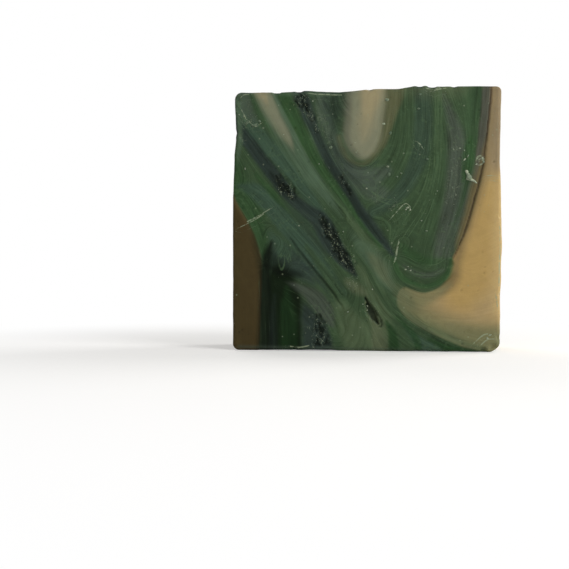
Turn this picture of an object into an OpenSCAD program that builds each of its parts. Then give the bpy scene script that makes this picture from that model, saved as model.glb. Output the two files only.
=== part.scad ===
// Bar of handmade soap with a green and charcoal swirl, cut from a poured block.
// It stands on its base: X runs across the bar, Y through the slice, Z up.
// The front cut face looks to -Y, and the origin is at the middle of the base.
// The coloured batter runs right through the bar, leaning a little on its way from front to back.
// As the bar dried, it sank a hair below the cream, and so it shows as shallow fields on every face.

/* [Bar] */
// Width of the bar between the walls of the mould
bar_width = 76; // [60:0.5:100]
// Height of the bar from its base to the mean level of its poured top
bar_height = 74.6; // [60:0.5:100]
// Thickness of the slice between its two cut faces
bar_thickness = 25; // [16:0.5:40]

/* [Corners and edges] */
// Radius of the left corner at the base
base_left_radius = 1.9; // [1.6:0.1:6]
// Radius of the right corner at the base
base_right_radius = 3; // [1.6:0.1:6]
// Radius of the left corner at the poured top
top_left_radius = 2.3; // [1.6:0.1:6]
// Radius of the right corner at the poured top
top_right_radius = 1.6; // [1.6:0.1:6]
// Radius to which handling has softened the edges of the two cut faces
edge_radius = 1.1; // [0.5:0.1:1.4]

/* [Poured top and walls] */
// How strongly the poured top swells and dips, as a multiple of the real bar's
top_swell = 1; // [0:0.1:2]
// How far the swells of the poured top wander sideways from front to back
top_wander = 9; // [0:0.5:20]
// How far the poured top sags between its front edge and the middle of the slice
top_sag = 0.35; // [0:0.05:1]
// How strongly the walls have warped in drying, as a multiple of the real bar's
wall_warp = 1; // [0:0.1:2]

/* [Swirl] */
// How far the green batter lies below the cream
green_depth = 0.12; // [0.06:0.02:0.3]
// How far the charcoal batter lies below the cream
charcoal_depth = 0.3; // [0.2:0.02:0.5]
// How far the swirl shifts to the right on its way to the back
swirl_shift = 6; // [-10:0.5:10]
// How far the swirl drops on its way to the back
swirl_drop = 12; // [0:0.5:15]
// How far the swirl turns on its way to the back, in degrees
swirl_turn = 3; // [1:0.5:10]

/* [Crumbled charcoal] */
// Length of one pit torn out by the cutting wire
pit_length = 0.9; // [0.6:0.1:3]
// Depth of the deepest pits below the charcoal
pit_depth = 0.6; // [0.2:0.05:1]
// Width of the widest crumbled stretch
crumbled_width = 6; // [3:0.5:8]

/* [Marks] */
// Length of the torn slot in the lower middle
slot_length = 6.2; // [3:0.1:9]
// Width of the torn slot
slot_width = 1.5; // [0.6:0.1:3]
// Depth of the torn slot
slot_depth = 1.1; // [0.4:0.1:2]
// Width of the crack along the seam between the swirl and the right-hand cream
seam_width = 0.4; // [0.2:0.05:1]
// Depth of that crack
seam_depth = 0.4; // [0.2:0.05:1]
// How far a pressed-on crumb stands above the cut face
crumb_height = 0.45; // [0.2:0.05:1]
// Length of the longest crumb
crumb_length = 3.4; // [2:0.1:5]
// Radius of a chip along the front edge of the poured top
chip_radius = 1; // [0.4:0.1:2]

/* [Hidden] */

CREAM = [0.80, 0.69, 0.47];
GREEN = [0.27, 0.40, 0.26];
CHARCOAL = [0.16, 0.19, 0.18];
BROWN = [0.33, 0.23, 0.13];
PALE_GREEN = [0.66, 0.72, 0.58];

// The swirl is drawn on a tile of this width and height, and stretched to the bar.
TILE = [76, 74.6];
// Points between two of a curve's own points, and round each corner and edge of the bar.
CURVE_STEPS = 2;
CORNER_STEPS = 5;
EDGE_STEPS = 4;
// Stretches along the base, each wall and the poured top, and through the slice.
BASE_STRETCHES = 6;
WALL_STRETCHES = 14;
TOP_STRETCHES = 32;
SLICE_STRETCHES = 5;
// Past the bar on every side, for what cuts right through it.
OVER = 5;
// Pits across a crumbled stretch.
PITS_ACROSS = 4;

half_width = bar_width / 2;
half_slice = bar_thickness / 2;
front_y = -half_slice;
// Height of a pit's mouth above the cut face.
pit_mouth = 0.28 * pit_depth;
// Depth of the crack below the cut face, and how deep a crumb is rooted, below every mark that it may cover.
crack_depth = green_depth + seam_depth;
crumb_root = max(charcoal_depth, crack_depth) + 0.1;

// Height of the poured top above its mean: [place from the left wall to the right, rise].
TOP_RISE = [
    [0, 0.3], [0.08, 0.1], [0.2, 0], [0.275, 0.22], [0.33, -0.15], [0.43, -0.42],
    [0.55, 0.08], [0.62, -0.03], [0.7, 0.68], [0.79, 0.25], [0.88, 0.15], [1, -0.2]
];
// How far a wall stands out of true, to the right: [place from the base to the top, offset].
LEFT_WARP = [[0, 0], [0.58, 0], [0.74, 0.35], [0.83, 0.8], [0.92, 0.65], [1, 0.45]];
RIGHT_WARP = [[0, -0.3], [0.17, -0.2], [0.3, 0.05], [0.42, 0.25], [0.62, 0], [0.72, -0.25], [0.9, 0], [1, 0.2]];

// Fields of the swirl, as closed curves on the tile: [across from the middle, up from the base].
// They run on above the tile, because the swirl drops on its way to the back.
GREEN_FIELD = [
    [-52, 62], [-43, 52], [-38, 45.5], [-35.3, 40.5], [-32.3, 35], [-30.3, 30], [-29.2, 24], [-29.6, 12],
    [-30, 0], [-30, -6], [0, -8], [33, -9], [30.5, -3], [26.4, 1], [20.4, 3.6], [14.8, 6.4], [10.8, 10.4],
    [7.6, 15], [8, 20], [9.4, 21.4], [13, 18.8], [17.2, 17.6], [21, 19], [23.7, 22], [24.4, 25.6],
    [27.6, 32.4], [31, 43], [33, 52], [34.3, 62], [34.8, 76], [35.4, 96], [-10, 99], [-52, 96]
];
CREAM_DROP = [
    [-6, 96], [-5.2, 76], [-5.4, 67], [-6.4, 61], [-4.6, 56.6], [-1, 54.3], [2.4, 55.8], [4.7, 60.4],
    [5.7, 67], [6.3, 76], [7.2, 96]
];
// Bands of the swirl: [across, up, width], from their upper end down.
UPPER_PALE_BAND = [[-39, 98, 8], [-28, 76, 5.6], [-24.5, 67, 5], [-20.5, 58.5, 4.6], [-15.5, 50.5, 3.6], [-10.5, 43.6, 1]];
LOWER_PALE_BAND = [[-3.5, 34, 1], [0, 29, 3.2], [4.4, 23.8, 4.2], [8.6, 18.6, 4.6], [12, 14, 5]];
MIDDLE_DARK_BAND = [
    [-31, 98, 6], [-19, 75, 4.2], [-15.5, 67, 3.8], [-12, 60, 3.2], [-9, 53, 2.9], [-4.8, 46, 3],
    [0, 38.7, 2.7], [4.3, 32.8, 2.1], [8, 27.4, 0.6]
];
LEFT_DARK_BAND = [[-52, 82, 5], [-40, 68.4, 3.4], [-34, 61, 3.6], [-29.4, 54.8, 3.4], [-24.6, 48.8, 2.6]];
LINKING_DARK_BAND = [[-21.4, 44.8, 2.4], [-17.8, 41, 2.8], [-13, 36.8, 2.6], [-11.6, 35, 2.2]];
ARCH_DARK_BAND = [[-25.4, 31, 0.6], [-27.3, 25.5, 2], [-27.2, 15, 2.6], [-27.3, 4, 2.8], [-27.4, -6, 2.8]];
ARCH_TOP_BAND = [[-27, 24, 0.8], [-23.4, 23.2, 2], [-19.4, 22.6, 1.8], [-16.8, 21.4, 0.6]];
LOW_DARK_BAND = [[-17, 15, 0.6], [-15, 10, 3.6], [-13, 4.6, 5.4], [-11.6, -6, 6.4]];
DROP_DARK_BAND = [[-10, 97, 5], [-8.6, 78, 4.6], [-8.2, 70.5, 5.2], [-7.4, 65.4, 0.8]];
RIGHT_GREY_BAND = [[23.6, 68, 0.6], [24.8, 58, 3.2], [25, 48, 3.8], [23.2, 38, 3], [21, 29, 0.8]];
SPLIT_DARK_BAND = [[-21, 32.4, 0.4], [-15, 24.7, 1], [-10.6, 18.8, 1], [-6, 12.2, 0.4]];
CHARCOAL_BANDS = [
    MIDDLE_DARK_BAND, LEFT_DARK_BAND, LINKING_DARK_BAND, ARCH_DARK_BAND, ARCH_TOP_BAND, LOW_DARK_BAND, DROP_DARK_BAND,
    RIGHT_GREY_BAND, SPLIT_DARK_BAND
];
SEAM = [[35, 72.4], [34.4, 62], [33, 52], [31, 43], [27.6, 32.4], [25, 26.8]];

// Crumbled stretches of charcoal: [from, to, share of the widest one's width, seed].
CRUMBLED = [
    [[-26.4, 50.8], [-19.6, 42.8], 0.83, 5],
    [[-13.8, 37.6], [-2.6, 22], 1, 42]
];
// The torn slot: its middle and how far it leans from the level.
SLOT_MIDDLE = [3, 11.2];
SLOT_LEAN = -61;
// Crumbs and flakes pressed on the front cut face:
// [middle, share of the longest one's length, width as a share of its own length, lean, seed].
CRUMBS = [
    [[29.2, 49.8], 0.94, 0.4, -52, 1], [[32.5, 54.2], 0.6, 0.85, 10, 2], [[28.2, 54.6], 0.44, 0.54, 50, 3],
    [[12.3, 40.6], 0.56, 0.8, 20, 4], [[-31.2, 65.4], 1, 0.44, 24, 5], [[-34.6, 67.8], 0.7, 0.54, 60, 6],
    [[-9.5, 58.2], 0.38, 0.77, 35, 7], [[6.6, 71], 0.3, 0.7, -10, 8], [[-34.3, 62.4], 0.47, 0.75, 20, 9]
];
// Chips along the front edge of the poured top: place from the left wall to the right.
TOP_CHIPS = [0.17, 0.255, 0.52, 0.705, 0.75, 0.83];
// Chips round the right corner at the base: [across, up].
CORNER_CHIPS = [[35.6, 1.7], [33.4, 0.9], [36.9, 3.6]];

// A value of a table of [place, value] at a place, eased from each entry to the next.
function eased(table, place, i = 0) =
    place <= table[0][0] ? table[0][1]
    : i > len(table) - 2 ? table[len(table) - 1][1]
    : place > table[i + 1][0] ? eased(table, place, i + 1)
    : let (share = (place - table[i][0]) / (table[i + 1][0] - table[i][0]))
      table[i][1] + (table[i + 1][1] - table[i][1]) * (1 - cos(180 * share)) / 2;

// From 0 at or below low to 1 at or above high, without a corner.
function ramp(value, low, high) =
    let (share = min(1, max(0, (value - low) / (high - low)))) share * share * (3 - 2 * share);

// A point of a curve between its points b and c, with a and d beyond them.
function curve_point(a, b, c, d, t) =
    0.5 * (2 * b + (c - a) * t + (2 * a - 5 * b + 4 * c - d) * t * t + (3 * b - a - 3 * c + d) * t * t * t);

// A smooth closed curve through the points.
function closed_curve(points, n = CURVE_STEPS) =
    let (count = len(points))
    [for (i = [0:count - 1], k = [0:n - 1])
        curve_point(points[(i + count - 1) % count], points[i], points[(i + 1) % count], points[(i + 2) % count], k / n)];

// A smooth open curve through the points.
function open_curve(points, n = CURVE_STEPS) =
    let (last = len(points) - 1)
    concat(
        [for (i = [0:last - 1], k = [0:n - 1])
            curve_point(points[max(i - 1, 0)], points[i], points[i + 1], points[min(i + 2, last)], k / n)],
        [points[last]]
    );

// The direction of an open curve at its point i.
function heading(points, i) =
    let (
        ahead = points[min(i + 1, len(points) - 1)],
        behind = points[max(i - 1, 0)],
        way = [ahead[0] - behind[0], ahead[1] - behind[1]]
    )
    way / norm(way);

// The outline of a band that follows a curve of [across, up, width].
function band_outline(points) =
    let (curve = open_curve(points), last = len(curve) - 1)
    concat(
        [for (i = [0:last]) let (way = heading(curve, i)) [curve[i][0], curve[i][1]] + [-way[1], way[0]] * curve[i][2] / 2],
        [for (i = [last:-1:0]) let (way = heading(curve, i)) [curve[i][0], curve[i][1]] - [-way[1], way[0]] * curve[i][2] / 2]
    );

// The tile's point, stretched to the bar.
function on_bar(point) = [point[0] * bar_width / TILE[0], point[1] * bar_height / TILE[1]];
// The same point on the front cut face, and a little way out of it.
function on_front(point, out = 0) = [on_bar(point)[0], front_y - out, on_bar(point)[1]];

// A quarter round of the outline, centred on middle.
function quarter(middle, radius, from) =
    [for (i = [0:CORNER_STEPS]) middle + radius * [cos(from + 90 * i / CORNER_STEPS), sin(from + 90 * i / CORNER_STEPS)]];

// The points strictly between two points, in that many stretches.
function between(a, b, stretches) = [for (i = [1:stretches - 1]) a + (b - a) * i / stretches];

// The plain outline of the bar, moved in by inset, from the left of the base round by the right.
function plain_outline(inset) =
    let (
        base_left = [-half_width + base_left_radius, base_left_radius],
        base_right = [half_width - base_right_radius, base_right_radius],
        top_right = [half_width - top_right_radius, bar_height - top_right_radius],
        top_left = [-half_width + top_left_radius, bar_height - top_left_radius]
    )
    concat(
        between([base_left[0], inset], [base_right[0], inset], BASE_STRETCHES),
        quarter(base_right, base_right_radius - inset, -90),
        between([half_width - inset, base_right[1]], [half_width - inset, top_right[1]], WALL_STRETCHES),
        quarter(top_right, top_right_radius - inset, 0),
        between([top_right[0], bar_height - inset], [top_left[0], bar_height - inset], TOP_STRETCHES),
        quarter(top_left, top_left_radius - inset, 90),
        between([-half_width + inset, top_left[1]], [-half_width + inset, base_left[1]], WALL_STRETCHES),
        quarter(base_left, base_left_radius - inset, 180)
    );

// How far the poured top stands above its mean at a place across and through the slice.
function top_rise(x, y) =
    let (depth = (y - front_y) / bar_thickness)
    top_swell * eased(TOP_RISE, (x + half_width + top_wander * depth) / bar_width) * (1 - 0.3 * depth)
    - top_sag * sin(180 * depth);

// A point of the plain outline, moved as the pour and the drying moved it.
function settled(point, y) =
    let (
        height = point[1] / bar_height,
        left = ramp(-point[0], 0, half_width) * eased(LEFT_WARP, height),
        right = ramp(point[0], 0, half_width) * eased(RIGHT_WARP, height)
    )
    [point[0] + wall_warp * (left + right), y, point[1] + top_rise(point[0], y) * ramp(height, 0.75, 1)];

// The rings of the bar from front to back: [distance in from the outline, place through the slice].
function slice_rings(inset) =
    let (
        round_over = [for (i = [0:EDGE_STEPS]) let (turn = 90 * i / EDGE_STEPS)
            [edge_radius * (1 - sin(turn)), (edge_radius - inset) * (1 - cos(turn)) + inset]],
        flat_from = edge_radius,
        flat = [for (i = [1:SLICE_STRETCHES - 1])
            [0, flat_from + (bar_thickness - 2 * flat_from) * i / SLICE_STRETCHES]]
    )
    concat(
        [for (ring = round_over) [ring[0] * (edge_radius - inset) / edge_radius + inset, front_y + ring[1]]],
        [for (ring = flat) [inset, front_y + ring[1]]],
        [for (i = [EDGE_STEPS:-1:0]) let (ring = round_over[i])
            [ring[0] * (edge_radius - inset) / edge_radius + inset, half_slice - ring[1]]]
    );

// The bar without its swirl, its whole surface moved in by inset.
module plain_bar(inset = 0) {
    rings = [for (ring = slice_rings(inset)) [for (point = plain_outline(ring[0])) settled(point, ring[1])]];
    count = len(rings[0]);
    last = len(rings) - 1;
    walls = [for (r = [0:last - 1], i = [0:count - 1], half = [0, 1])
        let (a = r * count + i, b = r * count + (i + 1) % count)
        half == 0 ? [a, b, a + count] : [b, b + count, a + count]];
    polyhedron(
        points = [for (ring = rings) each ring],
        faces = concat(
            [[for (i = [count - 1:-1:0]) i]],
            walls,
            [[for (i = [0:count - 1]) last * count + i]]
        )
    );
}

// A flat pattern, drawn on the tile, carried through the bar from front to back.
module through_bar() {
    lean_x = swirl_shift / bar_thickness;
    lean_z = -swirl_drop / bar_thickness;
    multmatrix([[1, lean_x, 0, lean_x * half_slice], [0, 1, 0, 0], [0, lean_z, 1, lean_z * half_slice]])
        translate([0, front_y - OVER, 0])
            rotate([-90, 0, 0])
                mirror([0, 1, 0])
                    linear_extrude(bar_thickness + 2 * OVER, twist = swirl_turn, slices = 1)
                        scale([bar_width / TILE[0], bar_height / TILE[1]])
                            children();
}

// The green batter, without the cream and the pale bands that it was folded round.
module green_pattern() {
    difference() {
        polygon(closed_curve(GREEN_FIELD));
        polygon(closed_curve(CREAM_DROP));
        polygon(band_outline(UPPER_PALE_BAND));
        polygon(band_outline(LOWER_PALE_BAND));
    }
}

// The charcoal batter that was dragged through the green.
module charcoal_pattern() {
    for (band = CHARCOAL_BANDS) polygon(band_outline(band));
}

// What a pattern takes off the bar's surface, to a depth.
module sunk_field(depth) {
    difference() {
        through_bar() children();
        plain_bar(depth);
    }
}

// A stretch of charcoal that crumbled under the cutting wire: a ragged hollow with a pitted floor.
module crumbled_stretch(from, to, width, seed) {
    run = to - from;
    steps = ceil(norm(run) / pit_length);
    aside = [-run[1], run[0]] / norm(run) * width / 2;
    depth = rands(0.15, 1, (steps + 1) * (PITS_ACROSS + 1), seed);
    reach = rands(0.45, 1, 2 * steps + 2, seed + 1);
    count = (steps + 1) * (PITS_ACROSS + 1);
    // Index of the pit at step i along the stretch and j across it.
    function pit(i, j) = i * (PITS_ACROSS + 1) + j;
    // How far pit j of step i lies to the side, as a share of half the width.
    function offset_of(i, j) =
        (2 * j / PITS_ACROSS - 1) * (0.3 + 0.7 * sin(180 * i / steps)) * reach[2 * j < PITS_ACROSS ? i : steps + 1 + i];
    // Share of the way along at which pit j of step i lies: each row bows towards its nearer end.
    function share_of(i, j) = (i + 0.9 * (2 * i / steps - 1) * sin(180 * (j + 0.5) / (PITS_ACROSS + 1))) / steps;
    floor_points = [for (i = [0:steps], j = [0:PITS_ACROSS])
        on_front(from + run * share_of(i, j) + aside * offset_of(i, j), -charcoal_depth - pit_depth * depth[pit(i, j)])];
    mouth_points = [for (i = [0:steps], j = [0:PITS_ACROSS])
        on_front(from + run * share_of(i, j) + aside * offset_of(i, j) * (1.1 + 0.4 * depth[pit(i, j)]), pit_mouth)];
    floor_faces = [for (i = [0:steps - 1], j = [0:PITS_ACROSS - 1], half = [0, 1])
        half == 0 ? [pit(i, j), pit(i + 1, j), pit(i, j + 1)] : [pit(i + 1, j), pit(i + 1, j + 1), pit(i, j + 1)]];
    rim = concat(
        [for (j = [0:PITS_ACROSS]) pit(0, j)],
        [for (i = [1:steps]) pit(i, PITS_ACROSS)],
        [for (j = [PITS_ACROSS - 1:-1:0]) pit(steps, j)],
        [for (i = [steps - 1:-1:1]) pit(i, 0)]
    );
    walls = [for (i = [0:len(rim) - 1]) let (a = rim[i], b = rim[(i + 1) % len(rim)]) [a, b, b + count, a + count]];
    polyhedron(
        points = concat(floor_points, mouth_points),
        faces = concat(floor_faces, walls, [[for (index = rim) index + count]])
    );
}

// The slot torn where a hard lump was dragged out, deepest at its lower end.
module torn_slot() {
    way = [cos(SLOT_LEAN), sin(SLOT_LEAN)];
    reach = way * (slot_length - slot_width) / 2;
    hull() {
        translate(on_front(SLOT_MIDDLE) - [reach[0], 0, reach[1]])
            scale([1, 0.6 * slot_depth / (slot_width / 2), 1]) sphere(0.35 * slot_width, $fn = 10);
        translate(on_front(SLOT_MIDDLE) + [reach[0], 0, reach[1]])
            scale([1, slot_depth / (slot_width / 2), 1]) sphere(slot_width / 2, $fn = 12);
    }
}

// The crack where the right-hand cream has shrunk away from the swirl.
module seam_crack() {
    curve = open_curve(SEAM, 2);
    for (i = [0:len(curve) - 2])
        hull()
            for (point = [curve[i], curve[i + 1]])
                translate(on_front(point))
                    rotate([90, 0, 0])
                        cylinder(h = 2 * crack_depth, r1 = seam_width / 6, r2 = seam_width, center = true, $fn = 6);
}

// A crumb or flake pressed on the front cut face, wide at its foot and narrow at its top.
module crumb(middle, length, width, lean, seed) {
    foot = rands(0.75, 1.15, 7, seed);
    top = rands(0.3, 0.7, 3, seed + 1);
    translate(on_front(middle, -crumb_root))
        rotate([0, -lean, 0])
            rotate([90, 0, 0])
                hull() {
                    linear_extrude(0.01)
                        polygon([for (i = [0:6]) foot[i] * [length * cos(i * 360 / 7), width * sin(i * 360 / 7)] * 0.6]);
                    linear_extrude(crumb_root + crumb_height)
                        polygon([for (i = [0:2]) top[i] * [length * cos(120 * i + 40), width * sin(120 * i + 40)] / 2]);
                }
}

// Chips along the front edge of the poured top and round the right corner at the base.
module edge_chips() {
    for (i = [0:len(TOP_CHIPS) - 1]) {
        x = -half_width + TOP_CHIPS[i] * bar_width;
        size = chip_radius * (0.8 + 0.3 * (i % 3));
        translate([x, front_y - 0.35 * size, bar_height + top_rise(x, front_y) + 0.1 * size])
            scale([1.7, 1, 0.8]) sphere(size, $fn = 10);
    }
    for (chip = CORNER_CHIPS)
        translate(on_front(chip, 0.55 * chip_radius))
            scale([1.2, 1, 0.8]) sphere(0.85 * chip_radius, $fn = 8);
}

module soap_bar() {
    difference() {
        color(CREAM) plain_bar();
        color(GREEN) sunk_field(green_depth) green_pattern();
        color(CHARCOAL) sunk_field(charcoal_depth) charcoal_pattern();
        color(CHARCOAL) for (one = CRUMBLED) crumbled_stretch(one[0], one[1], one[2] * crumbled_width, one[3]);
        color(CHARCOAL) torn_slot();
        color(BROWN) seam_crack();
        color(CREAM) edge_chips();
    }
    color(PALE_GREEN)
        for (one = CRUMBS)
            crumb(one[0], one[1] * crumb_length, one[1] * one[2] * crumb_length, one[3], one[4]);
}

soap_bar();
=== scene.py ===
"""Dresses a bar of handmade soap: its marbled batters, its marks of cutting and handling, and a plain studio.

Lengths are in millimetres unless a name says otherwise. Across is X, through the slice is Y and up is Z.
"""

import logging
import math
from collections.abc import Sequence
from dataclasses import dataclass, field
from enum import Enum

import bpy
import numpy as np
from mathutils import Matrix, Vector


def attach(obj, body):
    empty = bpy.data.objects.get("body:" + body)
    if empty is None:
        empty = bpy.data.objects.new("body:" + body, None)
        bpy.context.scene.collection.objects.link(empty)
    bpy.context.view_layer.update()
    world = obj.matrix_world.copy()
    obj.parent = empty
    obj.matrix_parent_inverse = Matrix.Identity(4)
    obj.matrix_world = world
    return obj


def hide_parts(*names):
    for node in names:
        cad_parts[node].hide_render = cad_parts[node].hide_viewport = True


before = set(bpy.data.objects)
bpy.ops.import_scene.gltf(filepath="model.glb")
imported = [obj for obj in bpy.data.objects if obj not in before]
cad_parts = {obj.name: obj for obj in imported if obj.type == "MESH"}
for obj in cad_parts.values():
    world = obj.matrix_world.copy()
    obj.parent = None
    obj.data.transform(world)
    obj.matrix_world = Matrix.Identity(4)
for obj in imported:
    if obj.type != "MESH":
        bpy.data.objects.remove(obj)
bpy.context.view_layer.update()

MM = 0.001
NODE = "soap_bar"
BODY = "root"
LOG = logging.getLogger("soap")

Run = tuple[tuple[float, float, float], ...]
Points = tuple[tuple[float, float], ...]
Span = tuple[float, float]
Colour = tuple[int, int, int]
Faces = list[Sequence[int]]
Socket = bpy.types.NodeSocket

THICKNESS = 25.0
FRONT = -THICKNESS / 2
FAR = 1e9
TINY = 1e-9
WHITE = (1, 1, 1, 1)
SOAP_REFRACTION = 1.46


def to_linear(colour: Colour) -> tuple[float, float, float]:
    """Turns a colour in steps of 255 into the linear shares that a shader takes.

    Args:
        colour: Red, green and blue, each from 0 to 255.

    Returns:
        The same colour in linear light.
    """
    shares = [step / 255 for step in colour]
    return tuple(s / 12.92 if s <= 0.04045 else ((s + 0.055) / 1.055) ** 2.4 for s in shares)


def ramp(value: np.ndarray, low: float, high: float) -> np.ndarray:
    """Rises smoothly from 0 at low to 1 at high.

    Args:
        value: Where the ramp is wanted.
        low: Where it starts.
        high: Where it ends. It may lie below low, and then the ramp falls.

    Returns:
        The ramp, as large as value.
    """
    share = np.clip((value - low) / (high - low), 0, 1)
    return share * share * (3 - 2 * share)


def taper(along: np.ndarray, share: float) -> np.ndarray:
    """Rises from 0 at either end of a run to 1 at that share of it."""
    return ramp(along, 0, share) * ramp(1 - along, 0, share)


def bell(value: np.ndarray, middle: float, width: float) -> np.ndarray:
    """Swells to 1 at the middle and fades on both sides."""
    return np.exp(-((value - middle) / width) ** 2)


def smooth_run(points: np.ndarray, steps: int, closed: bool = False) -> np.ndarray:
    """Draws a smooth curve through points.

    Args:
        points: The points, one to a row, with any values that ride along such as a width.
        steps: Stretches between two points.
        closed: Whether the curve comes back to its start.

    Returns:
        The points of the curve.
    """
    count = len(points)
    spans = range(count) if closed else range(count - 1)
    rows = []
    for i in spans:
        pick = [(i + k) % count if closed else min(max(i + k, 0), count - 1) for k in (-1, 0, 1, 2)]
        a, b, c, d = (points[k] for k in pick)
        for k in range(steps):
            t = k / steps
            rows.append(0.5 * (2 * b + (c - a) * t + (2 * a - 5 * b + 4 * c - d) * t**2
                               + (3 * b - a - 3 * c + d) * t**3))
    rows.append(points[0] if closed else points[-1])
    return np.array(rows)


def measure(start: np.ndarray, end: np.ndarray,
            place: np.ndarray) -> tuple[np.ndarray, np.ndarray, np.ndarray, np.ndarray]:
    """Measures places against one straight stretch.

    Args:
        start: Where the stretch starts.
        end: Where it ends.
        place: Across and up, one place to a row.

    Returns:
        The stretch as an arrow, and for each place its offset from the start, the share of the stretch
        at which it is nearest, and its distance there.
    """
    way, offset = end - start, place - start
    share = np.clip(offset @ way / max(way @ way, TINY), 0, 1)
    return way, offset, share, np.hypot(*(offset - share[:, None] * way).T)


def at_depth(flat: np.ndarray, through: float) -> np.ndarray:
    """Puts places that are given across and up at one place through the slice."""
    return np.stack([flat[:, 0], np.full(len(flat), through), flat[:, 1]], axis=1)


@dataclass(frozen=True)
class Lattice:
    """Smooth repeatable noise on a lattice of hashed values."""

    seed: int
    seed_step: int = 747796405
    seed_start: int = 2891336453
    offset: int = 32768
    spread: int = 0x9E3779B97F4A7C15
    stir: int = 0xBF58476D1CE4E5B9
    kept_bits: int = 0xFFFFFF
    layer_apart: float = 17.3

    def corner(self, cell: np.ndarray) -> np.ndarray:
        """Hashes whole-numbered cells to values between -1 and 1.

        Args:
            cell: One cell to a row.

        Returns:
            One value for each row.
        """
        mixed = np.full(len(cell), self.seed * self.seed_step + self.seed_start, dtype=np.uint64)
        for axis in range(cell.shape[1]):
            mixed ^= (cell[:, axis].astype(np.int64) + self.offset).astype(np.uint64) * np.uint64(self.spread)
            mixed ^= mixed >> np.uint64(29)
            mixed *= np.uint64(self.stir)
            mixed ^= mixed >> np.uint64(32)
        return (mixed & np.uint64(self.kept_bits)).astype(float) / (self.kept_bits // 2) - 1

    def at(self, place: np.ndarray, size: float) -> np.ndarray:
        """Gives the noise at places.

        Args:
            place: One place to a row.
            size: Width of one lump of the noise.

        Returns:
            Values between -1 and 1.
        """
        scaled = place / size
        cell = np.floor(scaled)
        share = scaled - cell
        share = share * share * (3 - 2 * share)
        total = np.zeros(len(place))
        for corner in range(2 ** place.shape[1]):
            step = np.array([corner >> axis & 1 for axis in range(place.shape[1])])
            weight = np.prod(np.where(step, share, 1 - share), axis=1)
            total += weight * self.corner(cell + step)
        return total

    def layered(self, place: np.ndarray, size: float, layers: int) -> np.ndarray:
        """Adds up finer and fainter layers of the noise.

        Args:
            place: One place to a row.
            size: Width of one lump of the first layer.
            layers: How many layers, each half the size of the last.

        Returns:
            Values mostly between -1 and 1.
        """
        total = sum(self.at(place + self.layer_apart * k, size / 2**k) / 2**k for k in range(layers))
        return total / (2 - 2 ** (1 - layers))


class Batter(Enum):
    """The batters and tones that show in the cut: colour, how far each lies below the cream, and its grain."""

    CREAM = ((172, 150, 107), 0.0, 0.1)
    GOLD = ((180, 151, 92), 0.0, 0.1)
    # Cream lightened into a painted highlight, for the rounded right edge.
    EDGE_HIGHLIGHT_CREAM = ((200, 173, 120), 0.0, 0.1)
    CARAMEL = ((112, 99, 68), 0.03, 0.15)
    UMBER = ((28, 31, 15), 0.06, 0.2)
    TAN = ((140, 126, 99), 0.0, 0.1)
    # Cream darkened by a painted shadow, for the strip at the lower left.
    SHADOWED_CREAM = ((63, 54, 30), 0.0, 0.1)
    OLIVE_CREAM = ((121, 122, 88), 0.02, 0.15)
    DROP = ((160, 149, 115), 0.0, 0.1)
    DROP_GREY = ((131, 133, 109), 0.02, 0.1)
    DROP_SHADE = ((98, 102, 86), 0.03, 0.15)
    OLIVE_GREY = ((97, 107, 80), 0.04, 0.2)
    SAGE = ((82, 103, 81), 0.04, 0.2)
    OLIVE = ((86, 102, 74), 0.06, 0.25)
    OLIVE_BROWN = ((97, 99, 71), 0.04, 0.2)
    GREEN = ((61, 81, 56), 0.08, 0.3)
    BRIGHT_GREEN = ((52, 82, 48), 0.08, 0.3)
    DARK_GREEN = ((37, 66, 36), 0.1, 0.3)
    # Dark green batter, darkened further by a painted shadow over the lower left.
    SHADOWED_GREEN = ((10, 22, 7), 0.1, 0.4)
    SLATE = ((62, 83, 69), 0.09, 0.35)
    DEEP_SLATE = ((58, 76, 61), 0.09, 0.35)
    GREY_GREEN = ((76, 88, 76), 0.08, 0.3)
    SMOKE = ((68, 75, 69), 0.14, 0.6)
    MAUVE_GREY = ((76, 84, 74), 0.12, 0.4)
    MAUVE_BROWN = ((84, 84, 74), 0.06, 0.2)
    CHARCOAL = ((47, 58, 54), 0.18, 0.8)
    BLACK = ((9, 14, 9), 0.2, 0.9)
    SEAM = ((80, 63, 48), 0.1, 0.2)

    @property
    def channels(self) -> np.ndarray:
        """Linear red, green and blue, depth in mm, and grain."""
        colour, depth, grain = self.value
        return np.array([*to_linear(colour), depth, grain])


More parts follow.
